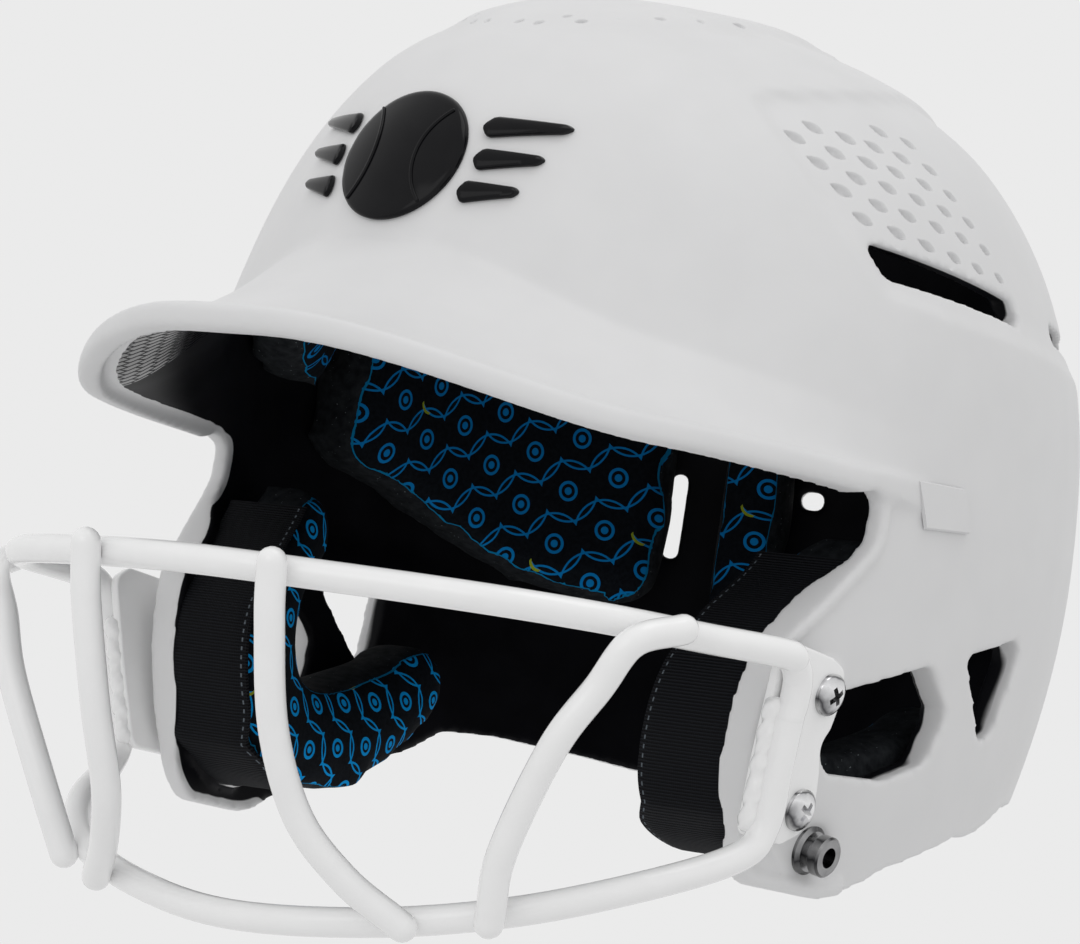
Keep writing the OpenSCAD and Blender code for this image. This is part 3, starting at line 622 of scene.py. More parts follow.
def brim_tiles(look):
    """1 on the small glossy tiles moulded under the brim, 0 between them and elsewhere."""
    brick = look.node("ShaderNodeTexBrick")
    look.link(look.place(), brick.inputs["Vector"])
    for key, value in TILES.items():
        brick.inputs[key].default_value = value
    front = look.math("LESS_THAN", look.split(look.place())[1], TILES_END)
    return look.math("MULTIPLY", front, look.math("SUBTRACT", 1.0, brick.outputs["Fac"]))


# Tones of the painted reflections on the metals: dark and light bands by the way each spot faces.
PAINTED_REFLECTION_TONES = (
    (0.0, (0.5, 0.5, 0.5)), (0.2, (0.06, 0.06, 0.065)), (0.33, (0.5, 0.5, 0.51)), (0.5, (0.85, 0.85, 0.86)),
    (0.66, (0.6, 0.6, 0.61)), (0.74, (0.09, 0.09, 0.095)), (0.84, (0.6, 0.6, 0.6)), (1.0, (0.85, 0.85, 0.85)),
)


def reflection_painted_metal(name, level, rough):
    """Bright metal with painted reflections: its base colour follows the way each spot faces, as if mirroring
    dark and light walls.
    """
    look = Look(name, Metallic=1.0, Roughness=rough)
    # Painted reflection: the base colour is a ramp of the surface's facing, not a reflection of any lamp.
    _, y, z = look.split(look.node("ShaderNodeTexCoord").outputs["Normal"])
    tilt = look.math("ADD", look.math("MULTIPLY", y, 0.6), look.math("MULTIPLY", z, 0.9))
    painted_reflection = look.math("MULTIPLY_ADD", look.noise(260, 2), 0.25, look.math("MULTIPLY_ADD", tilt, 0.5, 0.4))
    look.paint(look.ramp(painted_reflection, [(at, tuple(level * v for v in tone)) for at, tone in PAINTED_REFLECTION_TONES]))
    return look.material


def two_tone_plastic():
    """Matte white outside, black inside, with a clean line between the two."""
    look = Look("shell_plastic")
    grain = look.noise(60)
    step = look.node("ShaderNodeMapRange", interpolation_type="SMOOTHSTEP")
    step.inputs["From Min"].default_value = -LINE_SOFT
    step.inputs["From Max"].default_value = LINE_SOFT
    look.link(look.stored("inside").outputs["Fac"], step.inputs["Value"])
    share = step.outputs["Result"]
    white = look.ramp(grain, [(0.3, WHITE), (0.7, WHITE_LIGHT)])
    black = look.ramp(grain, [(0.3, BLACK), (0.7, BLACK_LIGHT)])
    look.paint(look.blend(share, white, black))
    tiles = look.math("MULTIPLY", share, brim_tiles(look))
    dull = look.math("SUBTRACT", share, tiles)
    rough = look.math("ADD", look.math("MULTIPLY_ADD", dull, -0.05, 0.5), look.math("MULTIPLY", tiles, -0.3))
    look.link(rough, look.shader.inputs["Roughness"])
    look.link(look.math("MULTIPLY_ADD", dull, -0.44, 0.5), look.shader.inputs["Specular IOR Level"])
    look.bump(look.math("ADD", look.math("MULTIPLY", look.noise(700), 0.2), tiles), 0.25, 0.0003)
    return look.material


SHELL_PLASTIC = two_tone_plastic()
COATED = speckled("white_coating", (0.94, 0.94, 0.94), (0.96, 0.96, 0.96), 0.14, 140, bump=0.04)
# Chrome and gunmetal carry painted reflections in their base colour.
CHROME = reflection_painted_metal("chrome", 1.0, 0.14)
ZINC = speckled("zinc", (0.42, 0.43, 0.44), (0.5, 0.5, 0.52), 0.35, 300, Metallic=1.0)
GUNMETAL = reflection_painted_metal("gunmetal", 0.42, 0.2)
EMBLEM = speckled("emblem_gloss", (0.003, 0.003, 0.004), (0.005, 0.005, 0.006), 0.12, 120,
                  Specular_IOR_Level=0.16)
BLACK_KNIT, BLACK_KNIT_LIGHT = (0.001, 0.002, 0.004), (0.004, 0.006, 0.009)
LINER_BLUE, JAW_BLUE, EDGE_BLUE = (0.0, 0.2, 0.54), (0.0, 0.32, 0.78), (0.0, 0.19, 0.4)
PRINT_GREEN = (0.3, 0.36, 0.02)
FOAM_DARK, FOAM_LIGHT, FOAM_SPECK = (0.006, 0.007, 0.009), (0.022, 0.025, 0.028), (0.16, 0.18, 0.19)
# Weave tones: the darker one is painted shade for the grooves between ribs, the lighter one the rib tops.
WEAVE_GROOVE_SHADE, WEAVE_RIB_TOP, STITCH = (0.001, 0.001, 0.002), (0.011, 0.013, 0.017), (0.12, 0.14, 0.16)
RIB_W, YARN_W, STITCH_AT = 0.8, 0.55, 1.3


def printed_knit(name, turn, size, blue):
    """Black knit with a fine blue pattern of rings and scallops on its face, and specked foam sides."""
    look = Look(name, Roughness=0.9, Specular_IOR_Level=0.12)
    flat = look.node("ShaderNodeMapping")
    look.link(look.stored("flat").outputs["Vector"], flat.inputs["Vector"])
    flat.inputs["Rotation"].default_value = (0, 0, math.radians(turn))
    x, y, _ = look.split(flat.outputs["Vector"])
    half, tall = size / 2, size * 0.87
    dx, dy = look.math("PINGPONG", x, half), look.math("PINGPONG", y, tall)
    ex, ey = look.math("SUBTRACT", half, dx), look.math("SUBTRACT", tall, dy)
    near = look.length(dx, dy)
    other = look.length(ex, ey)
    middle = look.math("MINIMUM", near, other)
    rings = look.line(middle, size * 0.16, 0.42)
    dots = look.math("LESS_THAN", middle, size * 0.07)
    arcs = look.math("MAXIMUM", look.line(near, size * 0.56, 0.28), look.line(other, size * 0.56, 0.28))
    lines = look.math("MAXIMUM", look.math("MAXIMUM", rings, dots), arcs)
    gx = look.math("WRAP", look.math("ADD", x, size * 0.5), size, -size)
    gy = look.math("WRAP", look.math("ADD", y, size * 0.32), size * 1.74, -size * 1.74)
    along = look.math("ADD", look.math("MULTIPLY", gx, 0.5), look.math("MULTIPLY", gy, 0.87))
    bow = look.math("MULTIPLY", look.math("MULTIPLY", along, along), 0.18)
    across = look.math("SUBTRACT", look.math("MULTIPLY", gx, 0.87), look.math("MULTIPLY", gy, 0.5))
    aside = look.math("ADD", across, bow)
    leaf = look.math("MULTIPLY", look.line(aside, 0.0, 0.4), look.line(along, 0.0, 2.2))
    knit = look.ramp(look.noise(900, 3), [(0.35, BLACK_KNIT), (0.65, BLACK_KNIT_LIGHT)])
    face = look.blend(leaf, look.blend(lines, knit, blue), PRINT_GREEN)
    specks = look.math("GREATER_THAN", look.noise(1300, 1), 0.76)
    grain = look.ramp(look.noise(400, 3), [(0.3, FOAM_DARK), (0.7, FOAM_LIGHT)])
    foam = look.blend(specks, grain, FOAM_SPECK)
    share = look.stored("printed").outputs["Fac"]
    cover = look.math("GREATER_THAN", share, 0.5)
    rim = look.line(share, 0.62, 0.08)
    look.paint(look.blend(rim, look.blend(cover, foam, face), EDGE_BLUE))
    look.bump(look.noise(1500, 2), 0.25, 0.0003)
    return look.material


def ribbed_weave():
    """Black woven band: fine ribs across it with painted shade in their grooves, and a row of pale stitches
    along its inner side.
    """
    look = Look("band_weave", Roughness=0.8, Specular_IOR_Level=0.15)
    along, across, _ = look.split(look.stored("flat").outputs["Vector"])
    ribs = look.math("SINE", look.math("MULTIPLY", along, 2 * math.pi / RIB_W))
    yarn = look.math("SINE", look.math("MULTIPLY", across, 2 * math.pi / YARN_W))
    height = look.math("ADD", look.math("MULTIPLY", ribs, 0.5), look.math("MULTIPLY", yarn, 0.12))
    # Painted shade: the colour follows the rib height, darker in the grooves.
    shaded_ribs = look.ramp(height, [(0.0, WEAVE_GROOVE_SHADE), (0.6, WEAVE_RIB_TOP)])
    step = look.line(look.math("WRAP", along, 1.1, -1.1), 0, 0.5)
    stitch = look.math("MULTIPLY", look.line(across, STITCH_AT, 0.22), step)
    look.paint(look.blend(stitch, shaded_ribs, STITCH))
    look.bump(height, 0.7, 0.0003)
    return look.material


LINER_PRINT = printed_knit("liner_print", 24, 15.0, LINER_BLUE)
JAW_PRINT = printed_knit("jaw_print", 52, 13.0, JAW_BLUE)
RIBBED = ribbed_weave()

# Paths
def curve(pts, n):
    """Smooth curve through a list of points, n steps between two."""
    pts = np.array(pts, float)
    out = []
    for i in range(len(pts) - 1):
        p1, p2 = pts[i], pts[i + 1]
        p0 = pts[i - 1] if i > 0 else 2 * p1 - p2
        p3 = pts[i + 2] if i + 2 < len(pts) else 2 * p2 - p1
        for k in range(n):
            t = k / n
            out.append(0.5 * (2 * p1 + (p2 - p0) * t + (2 * p0 - 5 * p1 + 4 * p2 - p3) * t * t
                              + (3 * p1 - p0 - 3 * p2 + p3) * t**3))
    out.append(pts[-1])
    return np.array(out)


DOME = [(math.sin(math.radians(a)), math.cos(math.radians(a))) for a in (80, 60, 40, 20, 0)]


def tube(path, radius, sides=24, dome=False):
    """Closed round tube along a path; radius is a number or one for each point."""
    path = np.array(path, float)
    n = len(path)
    radius = np.broadcast_to(np.asarray(radius, float), (n,))
    tangents = np.gradient(path, axis=0)
    tangents /= np.linalg.norm(tangents, axis=1, keepdims=True)
    side = np.cross(tangents[0], [0, 0, 1])
    if np.linalg.norm(side) < 0.1:
        side = np.cross(tangents[0], [1, 0, 0])
    rings = []
    for i in range(n):
        side = side - tangents[i] * (side @ tangents[i])
        side /= np.linalg.norm(side)
        other = np.cross(tangents[i], side)
        steps = [(0, 1)]
        if dome and i == 0:
            steps = [(-ahead, share) for ahead, share in DOME]
        if dome and i == n - 1:
            steps = DOME[::-1]
        for ahead, share in steps:
            a = circle(sides)
            ring = np.cos(a)[:, None] * side + np.sin(a)[:, None] * other
            rings.append(path[i] + tangents[i] * ahead * radius[i] + ring * radius[i] * share)
    return loft(rings)


def loft(rings, ends=None):
    """Closed solid through a row of rings, closed onto a point at each end."""
    m = len(rings[0])
    ends = [np.mean(rings[0], 0), np.mean(rings[-1], 0)] if ends is None else ends
    verts = np.concatenate([ends, *rings])
    faces = [(0, 2 + (j + 1) % m, 2 + j) for j in range(m)]
    for i in range(len(rings) - 1):
        a = 2 + i * m
        faces += [(a + j, a + (j + 1) % m, a + m + (j + 1) % m, a + m + j) for j in range(m)]
    last = 2 + (len(rings) - 1) * m
    faces += [(1, last + j, last + (j + 1) % m) for j in range(m)]
    return verts, faces


def wire_x(z):
    slope = math.radians(SEAT_SLOPE)
    lift = PLATE_T + WELD_GAP + WIRE_D / 2
    return SEAT_X + (z - SCREW_AT[0][1]) * math.tan(slope) + lift / math.cos(slope)


def finish_piece(obj, material, slot, *nodes, angle=None):
    obj.data.materials.clear()
    obj.data.materials.append(material)
    shade_smooth(obj, angle)
    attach(obj, "root")
    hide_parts(*nodes)


# Shell
VOXEL = 0.001
EDGE_FIRST, EDGE_LAST = 14, 78
EDGE_WHITE = 3.7
MARK_LIMIT = 1.2


def edge_line():
    return curve(rounded(UNDER_CUT, UNDER_ROUND, 5)[EDGE_FIRST:EDGE_LAST + 1:2], 2)


def face_edge():
    """Rolled edge down the front of the left flap, from the brim to its heel."""
    line = edge_line()
    along = np.gradient(line, axis=0)
    along /= np.linalg.norm(along, axis=1, keepdims=True)
    up = np.stack([-along[:, 1], along[:, 0]], -1)
    mid = line + (EDGE_R - EDGE_TRIM) * up
    rings = []
    for p, n in zip(mid, up):
        a = circle(16)
        q = p + EDGE_R * np.cos(a)[:, None] * n
        rings.append(side_pt(q[:, 0], q[:, 1], EDGE_SINK - EDGE_R * np.sin(a)))
    return loft(rings)


def seat_cylinder(y, z, radius, low, high):
    made, faces = lathe([(0, high), (radius, high), (radius, low), (0, low)], 40)
    return on_seat(made, y, z), faces


def rear_cut(u, w, low, high):
    """A small opening through the back of the shell, w wide, at the turn u."""
    a = math.radians(u)
    out, side = np.array([math.sin(a), -math.cos(a), 0]), np.array([math.cos(a), math.sin(a), 0])
    flat = rounded([(-w / 2, low), (w / 2, low), (w / 2, high), (-w / 2, high)], min(2.4, w * 0.3))
    verts = [np.array([0, MID_Y, 0]) + out * r + side * c + [0, 0, z] for r in (70, 150) for c, z in flat]
    return np.array(verts), prism(flat, 0, 1)[1]


def shell_tools():
    """Everything that is cut out of the moulding, as closed solids."""
    outlines = [
        rounded(UNDER_CUT, UNDER_ROUND), rounded(EAR_HOLE, [4, 4, 4, 5, 5, 5, 5]),
        rounded(SIDE_VENT, [2, 4, 3, 3]), rounded(FRONT_SLOT, [3, 2, 2, 3]), rounded(REAR_SLOT, [2, 2, 3, 2]),
    ]
    left = [rear_cut(151, 4.4, -13, 11), rear_cut(169, 7, 6, 11), seat_cylinder(*STUD_AT, 6.5, 0, 8)]
    left += [seat_cylinder(*at, 3.6, -20, 20) for at in SCREW_AT]
    left.append(seat_cylinder(*STUD_AT, 2.2, -20, 20))
    return [prism(o, -140, 140) for o in outlines], left


def shell_piece():
    """The moulded shell: its skin cut to the side outlines, with its edges rolled and rounded."""
    shell = new_object("helmet_shell", *outer_skin())
    inner = new_object("hollow", *inner_skin())
    outward(shell)
    outward(inner)
    tree = BVHTree.FromObject(shell, bpy.context.evaluated_depsgraph_get())
    cut(shell, inner)
    seat = seat_sheet(rounded(SEAT_OUTLINE, 5), -SEAT_BACK, 0)
    edge = face_edge()
    for made in (seat, flipped(*seat), edge, flipped(*edge)):
        added = new_object("added", *made)
        outward(added)
        cut(shell, added, "UNION")
    across, left = shell_tools()
    for made in across + left + [flipped(*t) for t in left]:
        tool = new_object("cutter", *made)
        outward(tool)
        cut(shell, tool)
    modified(shell, "REMESH", mode="VOXEL", voxel_size=VOXEL)
    modified(shell, "SMOOTH", factor=0.5, iterations=4)
    dimples(shell)
    paint_shell(shell, tree)
    finish_piece(shell, SHELL_PLASTIC, "shell_plastic", "shell")


# Dimples of the left side as (y, z) on the panel, and as (x, y) at the foot of the raised middle
PANEL_DIMPLES = (
    (-56.4, 75.9), (-53.6, 70.3), (-50.3, 64.5), (-46.8, 58.4),
    (-50.7, 79.6), (-48.3, 74), (-45.4, 68.5), (-41.6, 62.8), (-38, 57),
    (-43.3, 78.7), (-40.4, 73.4), (-37.2, 68.1), (-33.4, 62.1), (-29.2, 55.8),
    (-31.6, 83.1), (-36.2, 78.2), (-32.8, 72.8), (-28.6, 67.1), (-24.1, 61.4), (-19.7, 54.9),
    (-22.9, 82.1), (-28.4, 77.3), (-24, 71.8), (-19.4, 66.3), (-14.8, 60.7), (-10.2, 54.2),
    (-19.1, 76.5), (-14.7, 71.1), (-9.8, 65.5), (-4.9, 59.9), (0.3, 53.9),
)
RIDGE_DIMPLES = (
    (5, -84, 97), (10, -83, 97), (18, -77, 99), (23, -69, 101), (28, -59, 104), (32, -48, 106),
    (35, -35, 109), (8, -79, 99), (14, -77, 100), (19, -70, 102),
    (24, -61, 104), (28, -50, 106.5), (31, -38, 109),
)


def dimple_list():
    """Each dimple's middle, the way its pointed end looks, its length and its width."""
    made = []
    for y, z in PANEL_DIMPLES:
        u = float(turn_at(y, z))
        mid = surf(u, z, float(panel_at(u, z)))
        ahead = surf(u - 2, z + 1.2, float(panel_at(u, z))) - mid
        size = 1 - 0.25 * (y + 56) / 56
        made.append((mid, ahead / np.linalg.norm(ahead), 6.2 * size, 4.0 * size))
    for x, y, z in RIDGE_DIMPLES:
        ahead = np.array([-0.35, -0.93, -0.1])
        made.append((np.array([x, y, z - 1.0]), ahead / np.linalg.norm(ahead), 4.2, 2.6))
    return made + [(m * [-1, 1, 1], a * [-1, 1, 1], length, w) for m, a, length, w in made]


DIMPLE_DEPTH = 1.8


def dimples(obj):
    """Presses small teardrops into the moulding, on a finer mesh about each."""
    marks = dimple_list()
    bm = bmesh.new()
    bm.from_mesh(obj.data)
    near = np.array([unseated(np.array(v.co)) for v in bm.verts])
    normal = np.array([v.normal for v in bm.verts])
    outside = (normal * (near - [0, MID_Y, 0])).sum(1) > 0
    close = np.zeros(len(near), bool)
    for mid, _, length, _ in marks:
        close |= (np.linalg.norm(near - mid, axis=1) < length * 0.5 + 1.5) & outside
    edges = [e for e in bm.edges if close[e.verts[0].index] and close[e.verts[1].index]]
    bmesh.ops.subdivide_edges(bm, edges=edges, cuts=2, use_grid_fill=True)
    bm.normal_update()
    points = np.array([unseated(np.array(v.co)) for v in bm.verts])
    normals = np.array([v.normal for v in bm.verts])
    push = np.zeros(len(points))
    for mid, ahead, length, width in marks:
        d = points - mid
        l = d @ ahead / (length / 2)
        rest = d - (d @ ahead)[:, None] * ahead
        w = np.linalg.norm(rest, axis=1) / (width / 2)
        shape = np.clip(1 - l * l, 0, 1) * np.clip(1 - 0.45 * (l + 1) / 2, 0.3, 1)
        dent = np.clip(1 - (w / np.maximum(shape, 0.05)) ** 2, 0, 1)
        push = np.maximum(push, np.where(shape > 0.01, dent, 0))
    for v, share, n, p in zip(bm.verts, push, normals, points):
        if share > 0 and n @ (p - [0, MID_Y, 0]) > 0:
            v.co -= Vector(n) * DIMPLE_DEPTH * 0.001 * float(smooth(0, 1, share))
    bm.to_mesh(obj.data)
    bm.free()


def evened(mesh, values, times):
    """Values on the vertices, averaged with their neighbours a few times."""
    pairs = np.empty(len(mesh.edges) * 2, int)
    mesh.edges.foreach_get("vertices", pairs)
    a, b = pairs.reshape(-1, 2).T
    count = np.bincount(pairs, minlength=len(values))
    for _ in range(times):
        around = np.bincount(a, values[b], len(values)) + np.bincount(b, values[a], len(values))
        values = 0.5 * values + 0.5 * around / np.maximum(count, 1)
    return values


def paint_shell(shell, outer):
    """Stores how far each point is past the line between the white outside and the black inside, in mm."""
    line = curve(side_pt(*edge_line().T, 0), 6)
    edge = KDTree(len(line) * 2)
    for i, p in enumerate(np.concatenate([line, line * [-1, 1, 1]])):
        edge.insert(Vector(p), i)
    edge.balance()
    mesh = shell.data
    points, normals = coords(mesh), vertex_normals(mesh)
    heads = unseated(points)
    marks = np.empty(len(points))
    for i, (p, n, h) in enumerate(zip(points, normals, heads)):
        near, _, _, dist = outer.find_nearest(Vector(p))
        facing = -float(n @ np.array(near - Vector(p))) / max(dist, 1e-6)
        from_edge = edge.find(Vector(h))[2] - EDGE_WHITE
        marks[i] = max(-MARK_LIMIT, min(MARK_LIMIT, dist * 1000 - 2, (facing - 0.15) * 3, from_edge))
    marks = evened(mesh, marks, 5)
    store(mesh, "inside", marks)


shell_piece()


# Guard
UPPER_SHARES = ((0, 1), (34, 0.918), (68, 0.763), (88, 0.57), (99, 0.293))
LOWER_SHARES = ((0, 1, 1), (35, 0.874, 0.958), (65, 0.676, 0.865), (86, 0.361, 0.735), (97, 0.012, 0.605))
BEND_R = 10.0
JOIN_Z = HOOP_Z - BEND_R - 3
upper_half = [(x, mix(LEG_Y, TIP_Y, k), HOOP_Z) for x, k in UPPER_SHARES]
for turn in (0, 30, 60, 90):
    drop = HOOP_Z - BEND_R * (1 - math.cos(math.radians(turn)))
    upper_half.append((wire_x(drop), LEG_Y - BEND_R * (1 - math.sin(math.radians(turn))), drop))
upper_half.append((wire_x(JOIN_Z), LEG_Y, JOIN_Z))
lower_half = [(x, mix(LEG_Y, LOW_TIP_Y, k), HOOP_Z - GUARD_H * d) for x, k, d in LOWER_SHARES]
for z in (HOOP_Z - 0.5 * GUARD_H, HOOP_Z - 0.33 * GUARD_H, JOIN_Z - GAP):
    lower_half.append((wire_x(z), LEG_Y + LEG_SLOPE * (JOIN_Z - z), z))
STEPS = 10


def whole_hoop(half):
    """Path of a hoop from its left half, which starts in the middle."""
    return curve(np.concatenate([np.array(half[:0:-1]) * [-1, 1, 1], half]), STEPS)


upper_path, lower_path = whole_hoop(upper_half), whole_hoop(lower_half)


def on_hoop(path, x):
    middle = len(path) // 2
    half = path[middle:]
    reach = int(np.argmax(half[:, 0])) + 1
    return np.array([x, *(np.interp(x, half[:reach, 0], half[:reach, k]) for k in (1, 2))])


def before_hoop(path, x):
    """Point a wire's thickness out in front of a hoop."""
    d = on_hoop(path, x + 2) - on_hoop(path, x - 2)
    side = np.array([-d[1], d[0], 0])
    return on_hoop(path, x) - (WIRE_D + WELD_GAP) * side / np.linalg.norm(side)


def bar_path(a, mids, b):
    up = (a - mids[0]) / np.linalg.norm(a - mids[0])
    down = (b - mids[-1]) / np.linalg.norm(b - mids[-1])
    return curve([a + up, *mids, b, b + 2.5 * down], 10)


INNER_SHARES = ((-0.02, 0.066, 0.166), (-0.06, 0.26, 0.48), (0.07, 0.525, 0.736), (0.5, 0.78, 0.9))
OUTER_SHARES = ((0.306, 0.227, 0.9), (0.534, 0.44, 1), (0.874, 0.797, 0.53))


def inner_bar():
    a, b = before_hoop(upper_path, INNER_TOP_X), before_hoop(lower_path, INNER_LOW_X)
    return bar_path(a, [mix(a, b, np.array(s)) for s in INNER_SHARES], b)


def outer_bar():
    a, b = before_hoop(upper_path, OUTER_TOP_X), before_hoop(lower_path, OUTER_LOW_X)
    mids = [before_hoop(upper_path, OUTER_TOP_X - 4) - [0, 0, 4.5]]
    for across, along, bow in OUTER_SHARES:
        mids.append(mix(a, b, np.array([across, along, along])) - [0, OUTER_BOW * bow, 0])
    return bar_path(a, mids, b)


inner_path, outer_path = inner_bar(), outer_bar()


def guard():
    pieces = [
        ("upper_hoop", tube(upper_path, WIRE_D / 2), ("guard_upper_hoop",)),
        ("lower_hoop", tube(lower_path, WIRE_D / 2), ("guard_lower_hoop",)),
    ]
    for kind, path in (("inner", inner_path), ("outer", outer_path)):
        made = tube(path, WIRE_D / 2, dome=True)
        pieces.append((f"{kind}_bar_left", made, (f"guard_{kind}_bar_left",)))
        pieces.append((f"{kind}_bar_right", flipped(*made), (f"guard_{kind}_bar_right",)))
    for name, made, nodes in pieces:
        obj = new_object(name, *made)
        outward(obj)
        finish_piece(obj, COATED, "coated_wire", *nodes, angle=50)


guard()


def sleeves():
    """The bent ends of the two hoops, closed where they meet, and the rough weld beside each leg."""
    centre = np.array([wire_x(JOIN_Z), LEG_Y, JOIN_Z])
    made = tube(np.array([centre + [0, 0, 0.5], centre - [0, 0, 0.5]]), WIRE_D / 2 - 0.02, dome=True)
    down = np.linspace(JOIN_Z + 1.5, JOIN_Z - 26, 90)
    path = np.stack([wire_x(down) - 3.3, LEG_Y + LEG_SLOPE * (JOIN_Z - down) - 2.2, down], -1)
    bead = tube(path, WELD_R, 20, dome=True)
    for side, turned in (("left", lambda part: part), ("right", lambda part: flipped(*part))):
        obj = new_object(f"closed_end_{side}", *turned(made))
        outward(obj)
        finish_piece(obj, COATED, "coated_wire", angle=50)
        obj = new_object(f"weld_bead_{side}", *turned(bead))
        outward(obj)
        roughen(obj, 0.45)
        finish_piece(obj, COATED, "coated_wire", angle=60)


def roughen(obj, reach):
    """Small lumps over a mesh, up to reach mm high."""
    points, normals = coords(obj.data), vertex_normals(obj.data)
    a, b, c = (points * 1000).T
    lumps = np.sin(0.9 * c + 0.8 * b) + 0.7 * np.sin(1.9 * c - 1.7 * a + 1) + 0.5 * np.sin(4.1 * b + 1.1 * c)
    set_coords(obj.data, points + normals * (lumps * reach / 2200)[:, None])


def set_coords(mesh, points):
    mesh.vertices.foreach_set("co", np.asarray(points, float).ravel())
    mesh.update()


sleeves()


def plates():
    made = seat_sheet(rounded(PLATE_OUTLINE, 4), 0, PLATE_T)
    for name, part in (("left", made), ("right", flipped(*made))):
        obj = new_object(f"plate_{name}", *part)
        outward(obj)
        modified(obj, "BEVEL", width=0.0007, segments=3, limit_method="ANGLE")
        finish_piece(obj, COATED, "coated_plate", f"guard_plate_{name}", angle=35)


plates()

# Padding
SECTION = ((0, 0.9), (0, 0), (0, -0.9), (0.12, -1), (0.45, -0.97), (0.8, -1), (0.95, -0.9),
           (1.02, -0.45), (1.05, 0), (1.02, 0.45), (0.95, 0.9), (0.8, 1), (0.45, 0.97), (0.12, 1))
STOPS = (0, 0.03, 0.08, 0.16, 0.27, 0.38, 0.5, 0.62, 0.73, 0.84, 0.92, 0.97, 1)
SHRINK = 0.9
FOAM_VOXEL, FOAM_PRESSURE, FOAM_SWELL = 0.0045, 4.0, 0.0016
CLOTH_STEPS = 20


def end_fall(k, fall):
    return 1 - fall * (1 - min(1, min(k, 1 - k) / 0.1)) ** 2


def liner_loops(u1, u2, low, high):
    loops = []
    for k in STOPS:
        u = mix(u1, u2, k)
        ring = []
        for s, w in SECTION:
            z = (low(u) + high) / 2 + (high - low(u)) / 2 * w * end_fall(k, 0.2)
            ring.append(surf(u, z, WALL + thick_at(u, z) + GAP + s * LINER_T * end_fall(k, 0.15)))
        loops.append(np.array(ring))
    return loops


CROWN_RINGS = ((86, 0), (80, 0), (74, 0), (69.5, 0), (68.5, 0.12), (69, 0.45), (68.5, 0.8), (70, 0.95),
               (75, 1.02), (81, 1.04), (86, 1.05))


def crown_loops():
    turns = np.arange(360, 0, -15)
    loops = []
    for angle, share in CROWN_RINGS:
        depth = WALL + GAP + share * LINER_T
        loops.append(surf(turns, (CROWN - depth) * math.sin(math.radians(angle)), depth))
    return loops


JAW_FRONT = [(-43, -16), (-49, -27), (-62, -41), (-70, -56), (-69.5, -74), (-61, -90.5), (-37, -96),
             (-8, -94), (12, -84), (27, -73), (34, -63)]
JAW_BACK = [(-27, -15), (-24, -27), (-32, -40), (-38, -54), (-37, -63), (-31, -67), (-22, -66), (-8, -62),
            (8, -57), (22, -51), (30, -52)]


def jaw_back_at(y, z):
    """Depth at which a jaw pad starts: over the nuts, and less toward the rolled edge."""
    wall = WALL + float(thick_at(turn_at(y, z), z)) + 2 * GAP
    return max(wall, mix(EDGE_BACK, PAD_BACK, float(smooth(-68, -61, y))))


def jaw_deep(p):
    return PAD_BACK + JAW_T - jaw_back_at(*p)


def jaw_at(p, depth):
    return side_pt(p[0], p[1], jaw_back_at(*p)) - [depth, 0, 0]


def jaw_loops():
    front, back = curve(JAW_FRONT, 2), curve(JAW_BACK, 2)
    n = len(front) - 1
    loops = []
    for i in range(n + 1):
        ring = []
        for s, w in SECTION:
            p = mix(front[i], back[i], 0.5 + 0.5 * w * end_fall(i / n, 0.3))
            ring.append(jaw_at(p, s * jaw_deep(p) * end_fall(i / n, 0.15)))
        loops.append(np.array(ring))
    return loops


def swollen(obj):
    """Foam under its cover: a slightly smaller shape that swells a little under pressure."""
    modified(obj, "REMESH", mode="VOXEL", voxel_size=FOAM_VOXEL)
    start = coords(obj.data) - vertex_normals(obj.data) * SHRINK / 1000
    obj.data.vertices.foreach_set("co", start.ravel())
    cloth = obj.modifiers.new("cover", "CLOTH")
    cloth.settings.use_pressure = True
    cloth.settings.uniform_pressure_force = FOAM_PRESSURE
    cloth.settings.effector_weights.gravity = 0
    cloth.settings.quality = 4
    scene = bpy.context.scene
    for step in range(1, CLOTH_STEPS + 1):
        scene.frame_set(step)
    baked(obj)
    move = coords(obj.data) - start
    far = np.linalg.norm(move, axis=1, keepdims=True)
    move *= np.minimum(1, FOAM_SWELL / np.maximum(far, 1e-9))
    obj.data.vertices.foreach_set("co", (start + move).ravel())
    scene.frame_set(1)
    modified(obj, "SUBSURF", levels=1, render_levels=1)


def mark_print(obj, inward_at):
    """Stores where the printed cover lies, and its flat place in mm, on each vertex."""
    points, normals = unseated(coords(obj.data)), vertex_normals(obj.data)
    turned = np.stack([normals[:, 0], normals[:, 1] * lean_cos - normals[:, 2] * lean_sin,
                       normals[:, 2] * lean_cos + normals[:, 1] * lean_sin], -1)
    inward, flat = inward_at(points)
    share = smooth(0.4, 0.75, (turned * inward).sum(1))
    store(obj.data, "printed", share)
    store(obj.data, "flat", flat)


def round_the_head(points):
    d = points - [0, MID_Y, 0]
    d[:, 2] *= 0.15
    inward = -d / np.linalg.norm(d, axis=1, keepdims=True)
    turn = np.arctan2(points[:, 0], -(points[:, 1] - MID_Y))
    return inward, np.stack([turn * 95, points[:, 2], 0 * turn], -1)


def across_the_head(points):
    inward = np.stack([-np.sign(points[:, 0]), 0 * points[:, 0], 0 * points[:, 0]], -1)
    return inward, np.stack([points[:, 1], points[:, 2], 0 * points[:, 0]], -1)


def under_the_crown(points):
    inward = np.tile([0.0, 0.0, -1.0], (len(points), 1))
    return inward, np.stack([points[:, 0], points[:, 1], 0 * points[:, 0]], -1)


